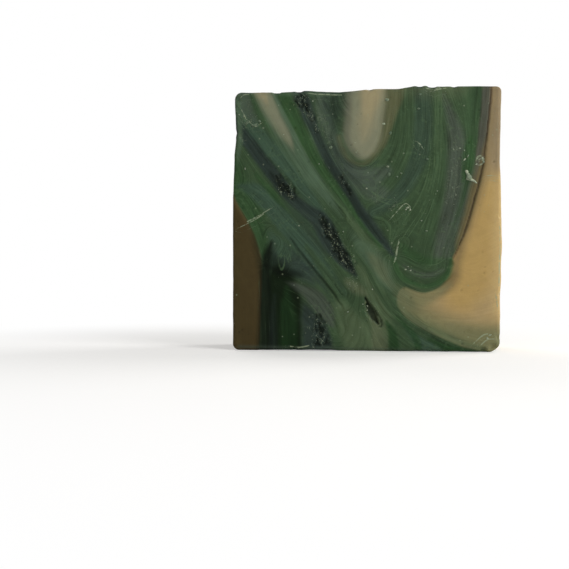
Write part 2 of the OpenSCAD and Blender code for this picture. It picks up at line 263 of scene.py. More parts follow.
@dataclass(frozen=True)
class Ribbon:
    """A ribbon of one batter, drawn on the front cut face by the middle of its run and its width there.

    Where flow is set, streaks follow the ribbon: it holds the number of the flow line along the run, and
    whether the numbers rise (1) or fall (-1) to the left of it.
    """

    batter: Batter
    run: Run
    soft: Span = (0.9, 0.9)
    strength: float = 1.0
    flow: tuple[float, int] | None = None
    steps: int = 5

    def trace(self, place: np.ndarray, reach: float) -> tuple[np.ndarray, np.ndarray, np.ndarray, np.ndarray]:
        """Finds the nearest place on the run.

        Args:
            place: Across and up, one place to a row.
            reach: How far from the run places still count.

        Returns:
            The rows that count, and for each its distance (left of the run is above 0), the ribbon's half
            width there, and how far along the run it is, from 0 to 1.
        """
        curve = smooth_run(np.array(self.run, dtype=float), self.steps)
        low, high = curve[:, :2].min(axis=0) - reach, curve[:, :2].max(axis=0) + reach
        rows = np.nonzero(np.all((place > low) & (place < high), axis=1))[0]
        best = np.full(len(rows), FAR)
        side, half, along = np.zeros((3, len(rows)))
        spans = len(curve) - 1
        for i, (start, end) in enumerate(zip(curve[:-1], curve[1:])):
            way, offset, share, gap = measure(start[:2], end[:2], place[rows])
            closer = gap < best
            best = np.where(closer, gap, best)
            left = np.where(way[0] * offset[:, 1] - way[1] * offset[:, 0] < 0, -1.0, 1.0)
            side = np.where(closer, left, side)
            half = np.where(closer, (start[2] + share * (end[2] - start[2])) / 2, half)
            along = np.where(closer, (i + share) / spans, along)
        return rows, side * best, half, along

    def cover(self, place: np.ndarray, blur: np.ndarray) -> tuple[np.ndarray, np.ndarray]:
        """Works out how strongly the ribbon covers places.

        Args:
            place: Across and up, one place to a row.
            blur: How much softer than on the front face its edges are there, in mm.

        Returns:
            The rows that it reaches, and its cover there from 0 to 1.
        """
        widest = max(width for _, _, width in self.run)
        rows, away, half, _ = self.trace(place, widest + max(self.soft))
        left = ramp((half - away) / (self.soft[0] + blur[rows]), -0.5, 0.5)
        right = ramp((half + away) / (self.soft[1] + blur[rows]), -0.5, 0.5)
        return rows, self.strength * left * right


@dataclass(frozen=True)
class Pool:
    """A pool of one batter inside a closed outline on the front cut face."""

    batter: Batter
    outline: Points
    soft: float
    steps: int = 4

    def cover(self, place: np.ndarray, blur: np.ndarray) -> tuple[np.ndarray, np.ndarray]:
        """Works out how strongly the pool covers places.

        Args:
            place: Across and up, one place to a row.
            blur: How much softer than on the front face its edge is there, in mm.

        Returns:
            All the rows, and its cover there from 0 to 1.
        """
        curve = smooth_run(np.array(self.outline, dtype=float), self.steps, closed=True)
        best = np.full(len(place), FAR)
        inside = np.zeros(len(place), dtype=bool)
        for start, end in zip(curve[:-1], curve[1:]):
            way, offset, _, gap = measure(start, end, place)
            best = np.minimum(best, gap)
            crosses = (start[1] > place[:, 1]) != (end[1] > place[:, 1])
            rise = way[1] if abs(way[1]) > TINY else TINY
            inside ^= crosses & (offset[:, 0] < way[0] * offset[:, 1] / rise)
        signed = np.where(inside, best, -best)
        return np.arange(len(place)), ramp(signed / (self.soft + blur), -0.5, 0.5)


@dataclass
class Swirl:
    """The pour: pools and ribbons of batter, folded over each other and leaning through the slice; a few
    ribbons carry a painted shadow at the lower left, and one a painted highlight on the right edge.

    The places are on the front cut face. On its way to the back the pour shifts, drops, turns and sways.
    """

    shift: float = 6.0
    drop: float = 12.0
    turn_degrees: float = 2.1
    sway: Span = (1.5, 1.3)
    sway_length: Span = (8.5, 7.5)
    waver: float = 0.35
    waver_length: float = 7.0
    waver_layers: int = 3
    waver_apart: float = 90.0
    wavering: Lattice = Lattice(11)
    stream_reach: float = 200.0
    stream_soft: float = 0.5

    body: Pool = Pool(Batter.GREEN, (
        (-52, 62), (-43, 52), (-38, 45.5), (-35.3, 40.5), (-32.3, 35), (-30.3, 30), (-29.2, 24),
        (-29.6, 12), (-30, 0), (-30, -6), (0, -8), (33, -9), (31.6, -2), (27, 1.6), (20.9, 4.1),
        (15.4, 6.9), (11.6, 10.2), (9.2, 13.6), (9.6, 16.8), (11.2, 18.2), (13.6, 17.5), (17.2, 16.8),
        (21, 18.4), (23.7, 21.6), (24.4, 25.6), (27.6, 32.4), (31, 43), (33, 52), (34.3, 62), (34.8, 76),
        (35.4, 96), (-10, 99), (-52, 96),
    ), 0.7)
    creams: tuple[Ribbon, ...] = (
        # Painted shadow: the cream strip at the lower left, darkened.
        Ribbon(Batter.SHADOWED_CREAM, ((-46, 46, 16), (-38, 28, 18), (-37, 10, 18), (-37, -6, 18)), (6, 5), 0.95),
        Ribbon(Batter.TAN, ((37, 96, 6), (37, 70, 6), (36.6, 60, 5), (36.4, 50, 2),
                            (36.4, 42, -5)), (3, 6), 0.9),
        Ribbon(Batter.GOLD, ((35, 46, 5), (32.5, 33, 9), (30, 22, 12), (27, 16, 9)), (7, 7), 0.8),
        # Painted highlight along the rounded right edge.
        Ribbon(Batter.EDGE_HIGHLIGHT_CREAM, ((37.8, 48, 2), (38, 36, 3), (38, 24, 4), (37.6, 12, 3)), (6, 6), 1.0),
        Ribbon(Batter.CARAMEL, ((36.4, 96, 0.6), (35.4, 74, 0.6), (34.6, 64, 1), (32.8, 50, 2),
                                (30, 40, 2.2), (27.6, 32, 2), (25.8, 25, 2), (24.6, 20.8, 3),
                                (21.8, 17.4, 2), (19, 15.4, -1)), (3.4, 3), 0.8),
        Ribbon(Batter.UMBER, ((-34.6, 42, 0.4), (-31.8, 34, 1.6), (-30, 27, 2), (-29.3, 20, 1.6),
                              (-29.2, 14, 1.2), (-29.8, 4, 1.4), (-30, -6, 1.4)), (2.4, 2.4), 0.8),
        Ribbon(Batter.OLIVE_CREAM, ((6, 22, 8), (11, 15, 8), (18, 8.5, 7), (26, 4.4, 9),
                                    (38, 2, 10)), (7, 5), 0.9),
        Ribbon(Batter.OLIVE_CREAM, ((23.6, 19, 0.8), (21, 17.2, 2.6), (16, 15.4, 4.6),
                                    (9, 18, 6)), (3, 3), 0.75),
        Ribbon(Batter.OLIVE_CREAM, ((25, 5, 5), (32, 4.4, 5), (40, 4, 6)), (5, 3), 0.6),
        Ribbon(Batter.OLIVE, ((7, 19, 1), (8.4, 14.8, 1.6), (12.4, 10.6, 2), (16.6, 7.6, 2.2),
                              (20.6, 5.4, 2.2), (26.4, 3, 1.8), (33, 1.2, 1.4)), (2.8, 2), 0.8),
    )
    left_hand: tuple[Ribbon, ...] = (
        Ribbon(Batter.BRIGHT_GREEN, ((-45, 62, 9), (-37.5, 50.5, 6), (-34.5, 44.5, 5.5), (-31, 37.5, 5),
                                     (-29, 31, 3), (-28.2, 26, 1)), (3, 1.2), 0.6, (34, -1)),
        Ribbon(Batter.SLATE, ((-46, 78, 6), (-36, 67.5, 6), (-31.5, 63, 5), (-26, 57, 4.6), (-20, 50, 3.6),
                              (-14.5, 42.5, 3), (-10, 36, 1)), (2, 1.8), 0.75),
        Ribbon(Batter.SAGE, ((-39, 78, 5), (-36, 70, 4.4), (-34.6, 66, 2),
                             (-33.6, 63, -1)), (2.4, 2.4), 0.6),
        Ribbon(Batter.GREY_GREEN, ((-40, 92, 6), (-36, 76, 5.6), (-34, 70, 4), (-31.4, 66.4, 1),
                                   (-29, 63, -2)), (2, 1.6), 0.75),
        Ribbon(Batter.BRIGHT_GREEN, ((-38, 92, 2), (-32.6, 75, 1.8), (-30, 69, 1.6),
                                     (-26.4, 63, 1)), (1.2, 1), 0.4),
        Ribbon(Batter.SAGE, ((-39.4, 98, 7), (-29.4, 76, 6), (-25.2, 67, 5.6), (-20.7, 58.5, 5),
                             (-15.6, 50.5, 4.2), (-10.6, 43.8, 2.6),
                             (-6.2, 38.4, 0)), (1.2, 3.2), 0.95, (14, -1)),
        Ribbon(Batter.DROP_GREY, ((-39.4, 98, 6), (-29.6, 76, 4.8), (-27.4, 70.6, 4), (-24.6, 65.4, 3),
                                  (-22, 61, 2), (-18.6, 54.6, -2)), (1.6, 2.8), 0.9),
        Ribbon(Batter.DROP, ((-39.4, 98, 4), (-29.8, 76, 3.4), (-28.4, 72.6, 1.6),
                             (-26.4, 69, -2)), (1.5, 2.4), 0.6),
        Ribbon(Batter.OLIVE, ((-12, 45.4, -1), (-7.4, 41.4, 0), (-3.6, 36.8, 1.6), (0, 32, 3),
                              (3.4, 27.4, 3)), (1.4, 2), 0.4),
        Ribbon(Batter.BRIGHT_GREEN, ((-34, 98, 4), (-24.2, 76, 3.4), (-20.7, 68, 3.4), (-16.9, 60.5, 2.8),
                                     (-12.9, 53.5, 2.6), (-8.4, 47, 2.6), (-4.4, 42, 2.2), (0.4, 35.6, 2),
                                     (4.4, 30, 1.2)), (1.6, 0.7), 0.7),
        Ribbon(Batter.SLATE, ((-36, 47.4, 1), (-31.4, 46, 4.4), (-27.2, 42.4, 5), (-22, 36, 5.4),
                              (-16, 29.6, 5.4), (-10.6, 23, 4.2),
                              (-6, 16.6, 2.4)), (1.8, 1.8), 0.8, (27, -1)),
        Ribbon(Batter.BRIGHT_GREEN, ((-31, 50.6, 0.8), (-26.4, 45.4, 1.8), (-21, 40.6, 1.8),
                                     (-16.4, 36.2, 1.4), (-12.6, 31.4, 1.2), (-8, 25.4, 1)), (1.2, 1), 0.7),
        Ribbon(Batter.GREEN, ((-24, 44, 1), (-17.6, 36.6, 2), (-12, 29.4, 2), (-7, 22, 2.4),
                              (-3.8, 16, 1.4)), (1.4, 1.4), 0.8),
    )
    lower: tuple[Ribbon, ...] = (
        Ribbon(Batter.SLATE, ((-28, 36, -1), (-25, 31, 4), (-21, 26.4, 6), (-16, 24, 4),
                              (-12, 21, -1)), (3, 3), 0.6),
        Ribbon(Batter.CHARCOAL, ((-25.6, 33, -1), (-26, 27.6, 2.6), (-24.4, 24.6, 5), (-20.4, 24, 5.6),
                                 (-16, 21, 3), (-13, 17.4, -1)), (2.4, 2.4), 0.7),
        # These two ribbons of dark green also carry a painted shadow over the lower left.
        Ribbon(Batter.SHADOWED_GREEN, ((-26.8, 31, -1), (-27, 27.4, 3.4), (-25.8, 24, 5.6), (-22, 22.6, 4),
                                   (-18.6, 21.6, -1)), (2.6, 2.6), 0.5),
        Ribbon(Batter.SHADOWED_GREEN, ((-24.6, 23.8, 2), (-24.2, 21, 7), (-23, 17, 9.4), (-22.6, 12, 9.8),
                                   (-22.4, -6, 9.8)), (2, 2), 0.92),
        Ribbon(Batter.DARK_GREEN, ((-22, 18, 1), (-21.8, 12, 4), (-21.6, 4, 5),
                                   (-21.4, -6, 5)), (2.4, 2), 0.4),
        Ribbon(Batter.BLACK, ((-26.4, 31, 0.8), (-28, 26, 2.6), (-28.4, 15, 3.4), (-28.2, 4, 4),
                              (-28.2, -6, 4.2)), (1.2, 2), 0.85, (42, -1)),
        Ribbon(Batter.BLACK, ((-27.6, 24.4, 1), (-24.6, 22.9, 2), (-21, 22.4, 2.2), (-18.6, 21.8, 1.6),
                              (-16.4, 20.6, -1)), (1.6, 1.6), 0.6),
        Ribbon(Batter.CHARCOAL, ((-25.6, 16, 0.6), (-26, 8, 1.8), (-26, -6, 2.2)), (1.6, 1.6), 0.3),
        Ribbon(Batter.MAUVE_GREY, ((-24, 20.4, -2), (-20.4, 19.2, 0.8), (-17, 17.4, 2.8),
                                   (-13.8, 14.8, 4.8), (-10.2, 10, 4.2),
                                   (-8, 6, -1)), (1.8, 1.8), 0.8, (31, -1)),
        Ribbon(Batter.CHARCOAL, ((-17.4, 14.6, -0.6), (-15.8, 10, 4.4), (-13.6, 4.8, 8),
                                 (-12.4, -6, 9.4)), (2, 2.4), 0.9),
        Ribbon(Batter.CHARCOAL, ((-22, 30, -1), (-18.6, 26.6, 3), (-16, 23.8, 3.4), (-13.4, 20.6, 2.6),
                                 (-10.4, 16, -1)), (3, 3), 0.35),
        Ribbon(Batter.GREEN, ((-16.4, 30, 1), (-11, 22.6, 2.4), (-7.2, 16.6, 3.2), (-3.6, 11, 3),
                              (-0.6, 6, 1.4)), (1.8, 1), 0.8),
        Ribbon(Batter.OLIVE, ((-7, 13, 3), (-4, 8, 7), (-1, 2.5, 10), (0, -6, 11)), (3.5, 3.5), 0.8),
        Ribbon(Batter.SAGE, ((-6, 36.4, -1.6), (0, 29, 4), (4.4, 23.8, 5), (7, 19, 3),
                             (8.8, 15, -1.6)), (2.6, 2.6), 0.7),
        Ribbon(Batter.OLIVE_GREY, ((-1, 30, -2), (2.4, 26.4, 2.4), (5.2, 22.6, 3.4), (7, 19, 1),
                                   (8.6, 16, -2)), (2.6, 2), 0.7),
        Ribbon(Batter.OLIVE, ((-1.6, 24, 1.4), (2.6, 17, 4.4), (4.6, 10, 6), (5, 3, 6),
                              (5, -6, 6)), (3, 3), 0.7),
        Ribbon(Batter.OLIVE_GREY, ((6.6, 22, -1), (9, 18, 2.6), (11, 15.6, 4.2), (13, 13.4, 2.4),
                                   (17, 9.6, -2.4)), (2.4, 2.6), 0.5),
        Ribbon(Batter.OLIVE_GREY, ((-6.4, 22, -1.6), (-4, 19.2, 2.4), (-1, 17.2, 2.4),
                                   (2.6, 14.6, -1.6)), (2.2, 2.2), 0.75),
        Ribbon(Batter.OLIVE_GREY, ((0.6, 14, 1), (3.4, 8, 3), (4.4, 3, 4),
                                   (4.6, -6, 4.4)), (2.4, 1.4), 0.8),
        Ribbon(Batter.SLATE, ((12, 8, 2), (15.4, 4.6, 5), (19, 0.6, 6), (22, -6, 8)), (2, 2.4), 0.7),
        Ribbon(Batter.GREEN, ((-2, 27.4, 0.6), (1.2, 22.9, 1.2), (3.7, 17.9, 1.6), (6.8, 12.9, 2),
                              (10.5, 9.6, 2.2), (14.3, 6.8, 2.2), (19.3, 3.7, 2.2), (24, 1.5, 2.2),
                              (28.7, 0.3, 2), (36, -1, 1.6)), (1.2, 0.9), 0.9, (12, -1)),
        Ribbon(Batter.DARK_GREEN, ((6.4, 8.4, 0.6), (8.2, 4, 2.6), (8.2, -6, 3.4)), (1.2, 1.2), 0.85),
        Ribbon(Batter.DARK_GREEN, ((9.3, 9.8, 0.8), (12.4, 6.7, 1.6), (14.7, 3.2, 2),
                                   (15.5, -4, 2.2)), (1, 1), 0.7),
        Ribbon(Batter.DARK_GREEN, ((18, 3.6, 0.6), (23, 1.2, 2), (28.7, -0.6, 3),
                                   (36, -2, 4)), (1.4, 1.2), 0.8),
    )
    lobe: tuple[Ribbon, ...] = (
        Ribbon(Batter.GREY_GREEN, ((-11, 92, 3), (-12, 70, 4), (-8.6, 60, 4), (-4.6, 52, 4.6),
                                   (1, 46.6, 6), (7, 43, 4)), (3, 3), 0.7),
        Ribbon(Batter.GREY_GREEN, ((6, 51, 3), (1, 49.4, 5), (-5, 52, 3)), (2.6, 2.6), 0.8),
        Ribbon(Batter.DEEP_SLATE, ((14.8, 96, 5), (16.2, 76, 5), (16.6, 64, 5.2), (15.4, 55, 5),
                                   (12, 47.4, 4.6), (7, 42, 3.6),
                                   (2.4, 39.6, 2.6)), (2.2, 2), 0.85, (10, 1)),
        Ribbon(Batter.DARK_GREEN, ((30.4, 96, 4.4), (30.4, 74, 4.4), (30.2, 60, 4), (29, 50, 4),
                                   (26.6, 40, 3.4), (24, 31, 2)), (1.6, 1.8), 0.2),
        Ribbon(Batter.MAUVE_GREY, ((22, 72, 0.6), (24.6, 65, 3), (25.8, 58, 4.8), (25.4, 49, 4.8),
                                   (23.6, 39, 4.2), (21.6, 31, 3.4),
                                   (20.6, 24.4, 2)), (2.4, 2.4), 0.8, (19, 1)),
        Ribbon(Batter.MAUVE_GREY, ((33, 60, 0.6), (30.4, 49, 1.6), (27.8, 40, 1.8), (24.6, 31, 2.6),
                                   (23, 25, 1.4)), (1.2, 1), 0.6),
        Ribbon(Batter.BRIGHT_GREEN, ((29.6, 60, 1), (29, 55.4, 3.2), (28.2, 51, 2.4),
                                     (27.4, 48, 0.8)), (1.2, 1.2), 0.7),
        Ribbon(Batter.CARAMEL, ((34, 66, -1), (32.6, 54, 1.8), (29.8, 42, 2.2), (27, 33, 1.6),
                                (25.2, 27, -0.6)), (1.6, 2.2), 0.85),
        Ribbon(Batter.MAUVE_BROWN, ((34, 96, 2.6), (33.9, 76, 2.4), (33.2, 65, 2.6), (32.2, 57, 1.8),
                                    (31, 50, 0.4), (29.4, 44, -1)), (1.2, 0.8), 0.85),
        Ribbon(Batter.GREEN, ((9.4, 30, 1), (11.4, 25.4, 4.6), (15.4, 22.6, 7), (20, 22.6, 7),
                              (23.4, 25, 3)), (1.6, 1.6), 0.9),
        Ribbon(Batter.BRIGHT_GREEN, ((10.6, 30, 1.4), (13, 27.4, 3), (17.4, 25.6, 2.4),
                                     (21, 26, 1)), (2, 2), 0.6),
        Ribbon(Batter.MAUVE_GREY, ((11, 24.4, 0.6), (14, 22.4, 1.4), (18, 21.6, 1.6),
                                   (22, 23, 1)), (1.2, 1.2), 0.6),
        Ribbon(Batter.BRIGHT_GREEN, ((24.4, 26, 1), (23.7, 22.4, 1.8), (21.2, 19.6, 2), (17.4, 18.2, 1.8),
                                     (13.8, 19.2, 1.6), (11, 20.9, 1.6), (8.9, 24, 1.4),
                                     (7.7, 28.4, 0.8)), (0.9, 0.6), 0.65, (24, -1)),
        Ribbon(Batter.OLIVE, ((23.6, 20.4, -0.6), (21, 18.4, 0.8), (17.4, 17.4, 1), (13.8, 18.4, 0.8),
                              (11, 20, -0.6)), (1, 0.8), 0.55),
    )
    drop_pool: Pool = Pool(Batter.DROP_GREY, (
        (-5, 96), (-4.6, 76), (-5, 67), (-5.2, 61.4), (-3.6, 57.4), (-0.6, 54.5), (2.6, 55.9), (5, 60.4),
        (6.2, 67), (6.9, 76), (7.8, 96),
    ), 2.2)
    round_drop: tuple[Ribbon, ...] = (
        Ribbon(Batter.DROP_SHADE, ((-5, 96, 2), (-4.4, 76, 2.4), (-4.6, 67, 2.4), (-4.6, 60, 1.6),
                                   (-2, 55.6, 1)), (2, 3), 0.75),
        Ribbon(Batter.DROP, ((3, 96, 6.6), (2.2, 76, 6.4), (1.4, 70, 4), (0.6, 65, 0),
                             (0, 61, -3)), (4, 3), 0.9),
        Ribbon(Batter.DROP, ((3, 72, 2), (1, 66, 4.4), (0, 60, 1), (-0.4, 57, -3)), (4, 4), 0.5),
        Ribbon(Batter.OLIVE_BROWN, ((10.4, 96, 5), (9.2, 76, 4.4), (8, 68, 2.8), (6.6, 62, 1.4),
                                    (5, 58, 0.6)), (1.8, 1.8), 0.85),
        Ribbon(Batter.OLIVE_BROWN, ((7.8, 96, 2.6), (7.1, 76, 2.4), (6.4, 67, 2.4), (5, 59.6, 2),
                                    (1.6, 54.2, 1.4), (-1.6, 53, 1.2), (-5, 55.6, 1.2),
                                    (-7, 61, 1)), (2.2, 1.8), 0.6, (0, 1)),
        Ribbon(Batter.CHARCOAL, ((-11, 60, 1), (-9.6, 57, 3), (-6.6, 52.6, 3.6),
                                 (-2, 48.6, 2.4)), (3, 2), 0.35),
        Ribbon(Batter.CHARCOAL, ((-10.4, 97, 6), (-9, 78, 6), (-8.7, 71, 6.4), (-8.7, 66.6, 4.4),
                                 (-8.6, 61, -1)), (4.4, 2.4), 0.55),
        Ribbon(Batter.BLACK, ((-9.2, 76, 1.4), (-8.6, 70, 2), (-8.8, 65, 0.8)), (3, 2), 0.2),
        Ribbon(Batter.CHARCOAL, ((-9.6, 61, 0.8), (-7.2, 56.4, 1.2), (-4, 53, 1.2), (0, 52, 1),
                                 (3.6, 53.8, 0.5)), (1.2, 1.2), 0.5),
        Ribbon(Batter.CHARCOAL, ((-31, 98, 6), (-19.2, 76, 4.6), (-15.8, 67, 3.6), (-12.7, 60, 2.8),
                                 (-9.2, 53, 2.8), (-4.8, 46, 2.8), (0, 38.7, 2.9), (4.3, 32.8, 2.8),
                                 (8, 27.6, 1.2)), (1.6, 1), 0.88, (8, -1)),
        Ribbon(Batter.SMOKE, ((-28, 92, 6), (-19.4, 76, 5), (-17.2, 71, 4),
                              (-14.6, 65, 1)), (1.6, 1.6), 0.2),
        Ribbon(Batter.BLACK, ((-11, 56, 0.4), (-7.6, 49.6, 1.4), (-3.6, 43.4, 1.6), (1, 36.4, 1.4),
                              (5, 31, 0.6)), (1.2, 0.8), 0.35),
        Ribbon(Batter.CHARCOAL, ((-52, 82, 6), (-40, 68.4, 4.4), (-34, 61, 3.8), (-29.4, 54.8, 3.6),
                                 (-24.6, 48.8, 4), (-20.8, 44, 3.4), (-16.4, 40.2, 3.6), (-12, 36.4, 5.2),
                                 (-9.2, 31, 5.4), (-5.9, 26.2, 4),
                                 (-2.4, 21.6, 0.8)), (1.2, 1.2), 0.92, (21, -1)),
        Ribbon(Batter.CHARCOAL, ((-24.6, 44.6, -1), (-20, 40, 2.2), (-16.6, 36, 3), (-12.8, 30.4, 3),
                                 (-9.4, 25, -1)), (1.8, 1.8), 0.5),
        Ribbon(Batter.BLACK, ((-27, 51, 0.6), (-23.2, 47, 2.4), (-20.6, 43.8, 0.8)), (1.4, 1.4), 0.6),
        Ribbon(Batter.BLACK, ((-12.6, 37, 0.6), (-9, 32.6, 2.2), (-6, 27.4, 2.6),
                              (-2.8, 22.2, 0.6)), (1.2, 1.2), 0.7),
        Ribbon(Batter.BLACK, ((-21, 32.4, 0.2), (-18.4, 28.6, 0.4), (-13.6, 22.6, 0.6), (-9.6, 17.6, 0.7),
                              (-5.9, 12.3, 0.2)), (0.8, 0.6), 0.75),
        Ribbon(Batter.CHARCOAL, ((-22.6, 30.6, 0.3), (-17.6, 25.4, 1), (-12.4, 19.4, 1),
                                 (-8, 13, 0.3)), (1.4, 1), 0.5),
        Ribbon(Batter.SEAM, ((35.5, 96, 0.5), (35.2, 74, 0.5), (34.5, 66, 0.5), (33.6, 57, 0.5),
                             (32.6, 51, 0.45), (30.6, 43, 0.4), (27.5, 32.6, 0.4),
                             (25, 26.4, 0.3)), (0.4, 0.5), 0.75, (28, 1)),
    )

    def __post_init__(self) -> None:
        """Joins the layers in the order in which they cover each other."""
        self.layers = [*self.creams, self.body, *self.left_hand, *self.lower, *self.lobe,
                       self.drop_pool, *self.round_drop]

    def drawn_at(self, place: np.ndarray) -> np.ndarray:
        """Carries places in the bar back to where their batter shows on the front cut face.

        Args:
            place: Places in the bar, one to a row.

        Returns:
            Across and up on the front cut face, one to a row.
        """
        depth = np.clip(place[:, 1] / THICKNESS + 0.5, 0, 1)
        across = place[:, 0] - self.shift * depth
        up = place[:, 2] + self.drop * depth
        angle = np.radians(self.turn_degrees) * depth
        turned = np.stack([across * np.cos(angle) - up * np.sin(angle),
                           across * np.sin(angle) + up * np.cos(angle)], axis=1)
        swayed = np.stack([self.sway[0] * np.sin(turned[:, 1] / self.sway_length[0] + 1),
                           self.sway[1] * np.sin(turned[:, 0] / self.sway_length[1])], axis=1)
        return turned + swayed * depth[:, None]

    def blend(self, drawn: np.ndarray, blur: np.ndarray) -> np.ndarray:
        """Lays every pool and ribbon over the cream.

        Args:
            drawn: Across and up on the front cut face, one place to a row.
            blur: How much softer than on the front face the edges are there, in mm.

        Returns:
            The channels of the batter at each place.
        """
        waver = np.stack([self.wavering.layered(drawn + apart, self.waver_length, self.waver_layers)
                          for apart in (0, self.waver_apart)], axis=1)
        place = drawn + self.waver * waver
        mix = np.tile(Batter.CREAM.channels, (len(place), 1))
        for layer in self.layers:
            rows, cover = layer.cover(place, blur)
            mix[rows] += cover[:, None] * (layer.batter.channels - mix[rows])
        return mix

    def stream(self, drawn: np.ndarray) -> np.ndarray:
        """Numbers the flow lines of the pour, so that streaks can follow them.

        Args:
            drawn: Across and up on the front cut face, one place to a row.

        Returns:
            The number of the flow line at each place, rising by about 1 a mm.
        """
        total, weights = np.zeros((2, len(drawn)))
        for layer in self.layers:
            if isinstance(layer, Ribbon) and layer.flow:
                level, side = layer.flow
                rows, away, _, _ = layer.trace(drawn, self.stream_reach)
                weight = 1 / (np.abs(away) + self.stream_soft) ** 3
                total[rows] += weight * (level + side * away)
                weights[rows] += weight
        return total / weights


class Corner(Enum):
    """The corners of the outline: left (-1) or right (1), base (0) or top (1), and their middle's angle."""

    BASE_LEFT = (-1, 0, 225)
    BASE_RIGHT = (1, 0, 315)
    TOP_RIGHT = (1, 1, 45)
    TOP_LEFT = (-1, 1, 135)


class Side(Enum):
    """The sides of the outline: the corners where each starts and ends, and which way it turns round them."""

    BASE = (Corner.BASE_LEFT, Corner.BASE_RIGHT, 1)
    RIGHT = (Corner.BASE_RIGHT, Corner.TOP_RIGHT, 1)
    TOP = (Corner.TOP_LEFT, Corner.TOP_RIGHT, -1)
    LEFT = (Corner.BASE_LEFT, Corner.TOP_LEFT, -1)


@dataclass
class Outline:
    """The outline of the bar and the way the pour and the drying moved it."""

    width: float = 76.0
    height: float = 74.6
    base_left_radius: float = 1.9
    base_right_radius: float = 3.0
    top_right_radius: float = 1.6
    top_left_radius: float = 2.3
    edge_radius: float = 1.1
    top_wander: float = 9.0
    top_sag: float = 0.35
    top_calming: float = 0.3
    top_from: float = 0.75
    top_rise: Points = (
        (0, 0.3), (0.08, 0.1), (0.2, 0), (0.275, 0.22), (0.33, -0.15), (0.43, -0.42), (0.55, 0.08),
        (0.62, -0.03), (0.7, 0.68), (0.79, 0.25), (0.88, 0.15), (1, -0.2),
    )
    left_warp: Points = ((0, 0), (0.58, 0), (0.74, 0.35), (0.83, 0.8), (0.92, 0.65), (1, 0.45))
    right_warp: Points = (
        (0, -0.3), (0.17, -0.2), (0.3, 0.05), (0.42, 0.25), (0.62, 0), (0.72, -0.25), (0.9, 0), (1, 0.2),
    )

    @staticmethod
    def eased(table: Points, place: np.ndarray) -> np.ndarray:
        """Reads a table of place and value, eased from each entry to the next.

        Args:
            table: The entries, by rising place.
            place: Where the value is wanted.

        Returns:
            The values.
        """
        places, values = np.array(table).T
        index = np.clip(np.searchsorted(places, place) - 1, 0, len(places) - 2)
        share = np.clip((place - places[index]) / (places[index + 1] - places[index]), 0, 1)
        return values[index] + (values[index + 1] - values[index]) * (1 - np.cos(np.pi * share)) / 2

    def settled(self, plain: np.ndarray) -> np.ndarray:
        """Moves places of the plain bar as the pour and the drying moved them.

        Args:
            plain: Places in the plain bar, one to a row.

        Returns:
            The moved places.
        """
        across, through, up = plain.T
        half = self.width / 2
        share = up / self.height
        left = ramp(-across, 0, half) * self.eased(self.left_warp, share)
        right = ramp(across, 0, half) * self.eased(self.right_warp, share)
        depth = through / THICKNESS + 0.5
        wandered = (across + half + self.top_wander * depth) / self.width
        swell = self.eased(self.top_rise, wandered) * (1 - self.top_calming * depth)
        rise = swell - self.top_sag * np.sin(np.pi * depth)
        return np.stack([across + left + right, through, up + rise * ramp(share, self.top_from, 1)], axis=1)

    def arc(self, corner: Corner, turns: np.ndarray, inset: float) -> np.ndarray:
        """Draws part of a rounded corner.

        Args:
            corner: Which corner.
            turns: Angles from the corner's middle, in degrees.
            inset: How far inside the outline the part lies.

        Returns:
            Across and up, one point to a row.
        """
        across, level, middle = corner.value
        radius = self.radius(corner)
        centre = np.array([across * (self.width / 2 - radius),
                           level * self.height + (1 - 2 * level) * radius])
        angles = np.radians(middle + turns)
        return centre + (radius - inset) * np.stack([np.cos(angles), np.sin(angles)], axis=1)

    def radius(self, corner: Corner) -> float:
        """The radius of a corner."""
        return getattr(self, f"{corner.name.lower()}_radius")

    def side(self, side: Side, inset: float, spacing: float) -> np.ndarray:
        """Draws one side of the plain outline, from the middle of one corner to the middle of the next.

        Args:
            side: Which side.
            inset: How far inside the outline the side lies.
            spacing: Length of one stretch.

        Returns:
            Across and up, from left to right or from the base to the top.
        """
        first, second, way = side.value
        arcs = []
        for corner, start, end in ((first, 0, 45), (second, -45, 0)):
            steps = max(2, round(self.radius(corner) * math.pi / 4 / spacing))
            arcs.append(self.arc(corner, way * np.linspace(start, end, steps + 1), inset))
        long_side = self.width if side in (Side.BASE, Side.TOP) else self.height
        stretches = 2 * round(long_side / spacing / 2) - (len(arcs[0]) + len(arcs[1]) - 2)
        straight = np.linspace(arcs[0][-1], arcs[1][0], stretches + 1)[1:-1]
        return np.concatenate([arcs[0], straight, arcs[1]])

    def cut_face(self, inset: float, spacing: float, stride: int) -> np.ndarray:
        """Fills a cut face with a net of points.

        Args:
            inset: How far inside the outline the net ends.
            spacing: Length of one stretch of the outline.
            stride: 1 for the whole net, 2 for every second line of it.

        Returns:
            Across and up, by column and row.
        """
        base, top, left, right = (self.side(side, inset, spacing)[::stride]
                                  for side in (Side.BASE, Side.TOP, Side.LEFT, Side.RIGHT))
        u = np.linspace(0, 1, len(base))[:, None, None]
        v = np.linspace(0, 1, len(left))[None, :, None]
        corners = ((1 - u) * (1 - v) * base[0] + u * (1 - v) * base[-1]
                   + (1 - u) * v * top[0] + u * v * top[-1])
        return (1 - v) * base[:, None] + v * top[:, None] + (1 - u) * left[None] + u * right[None] - corners


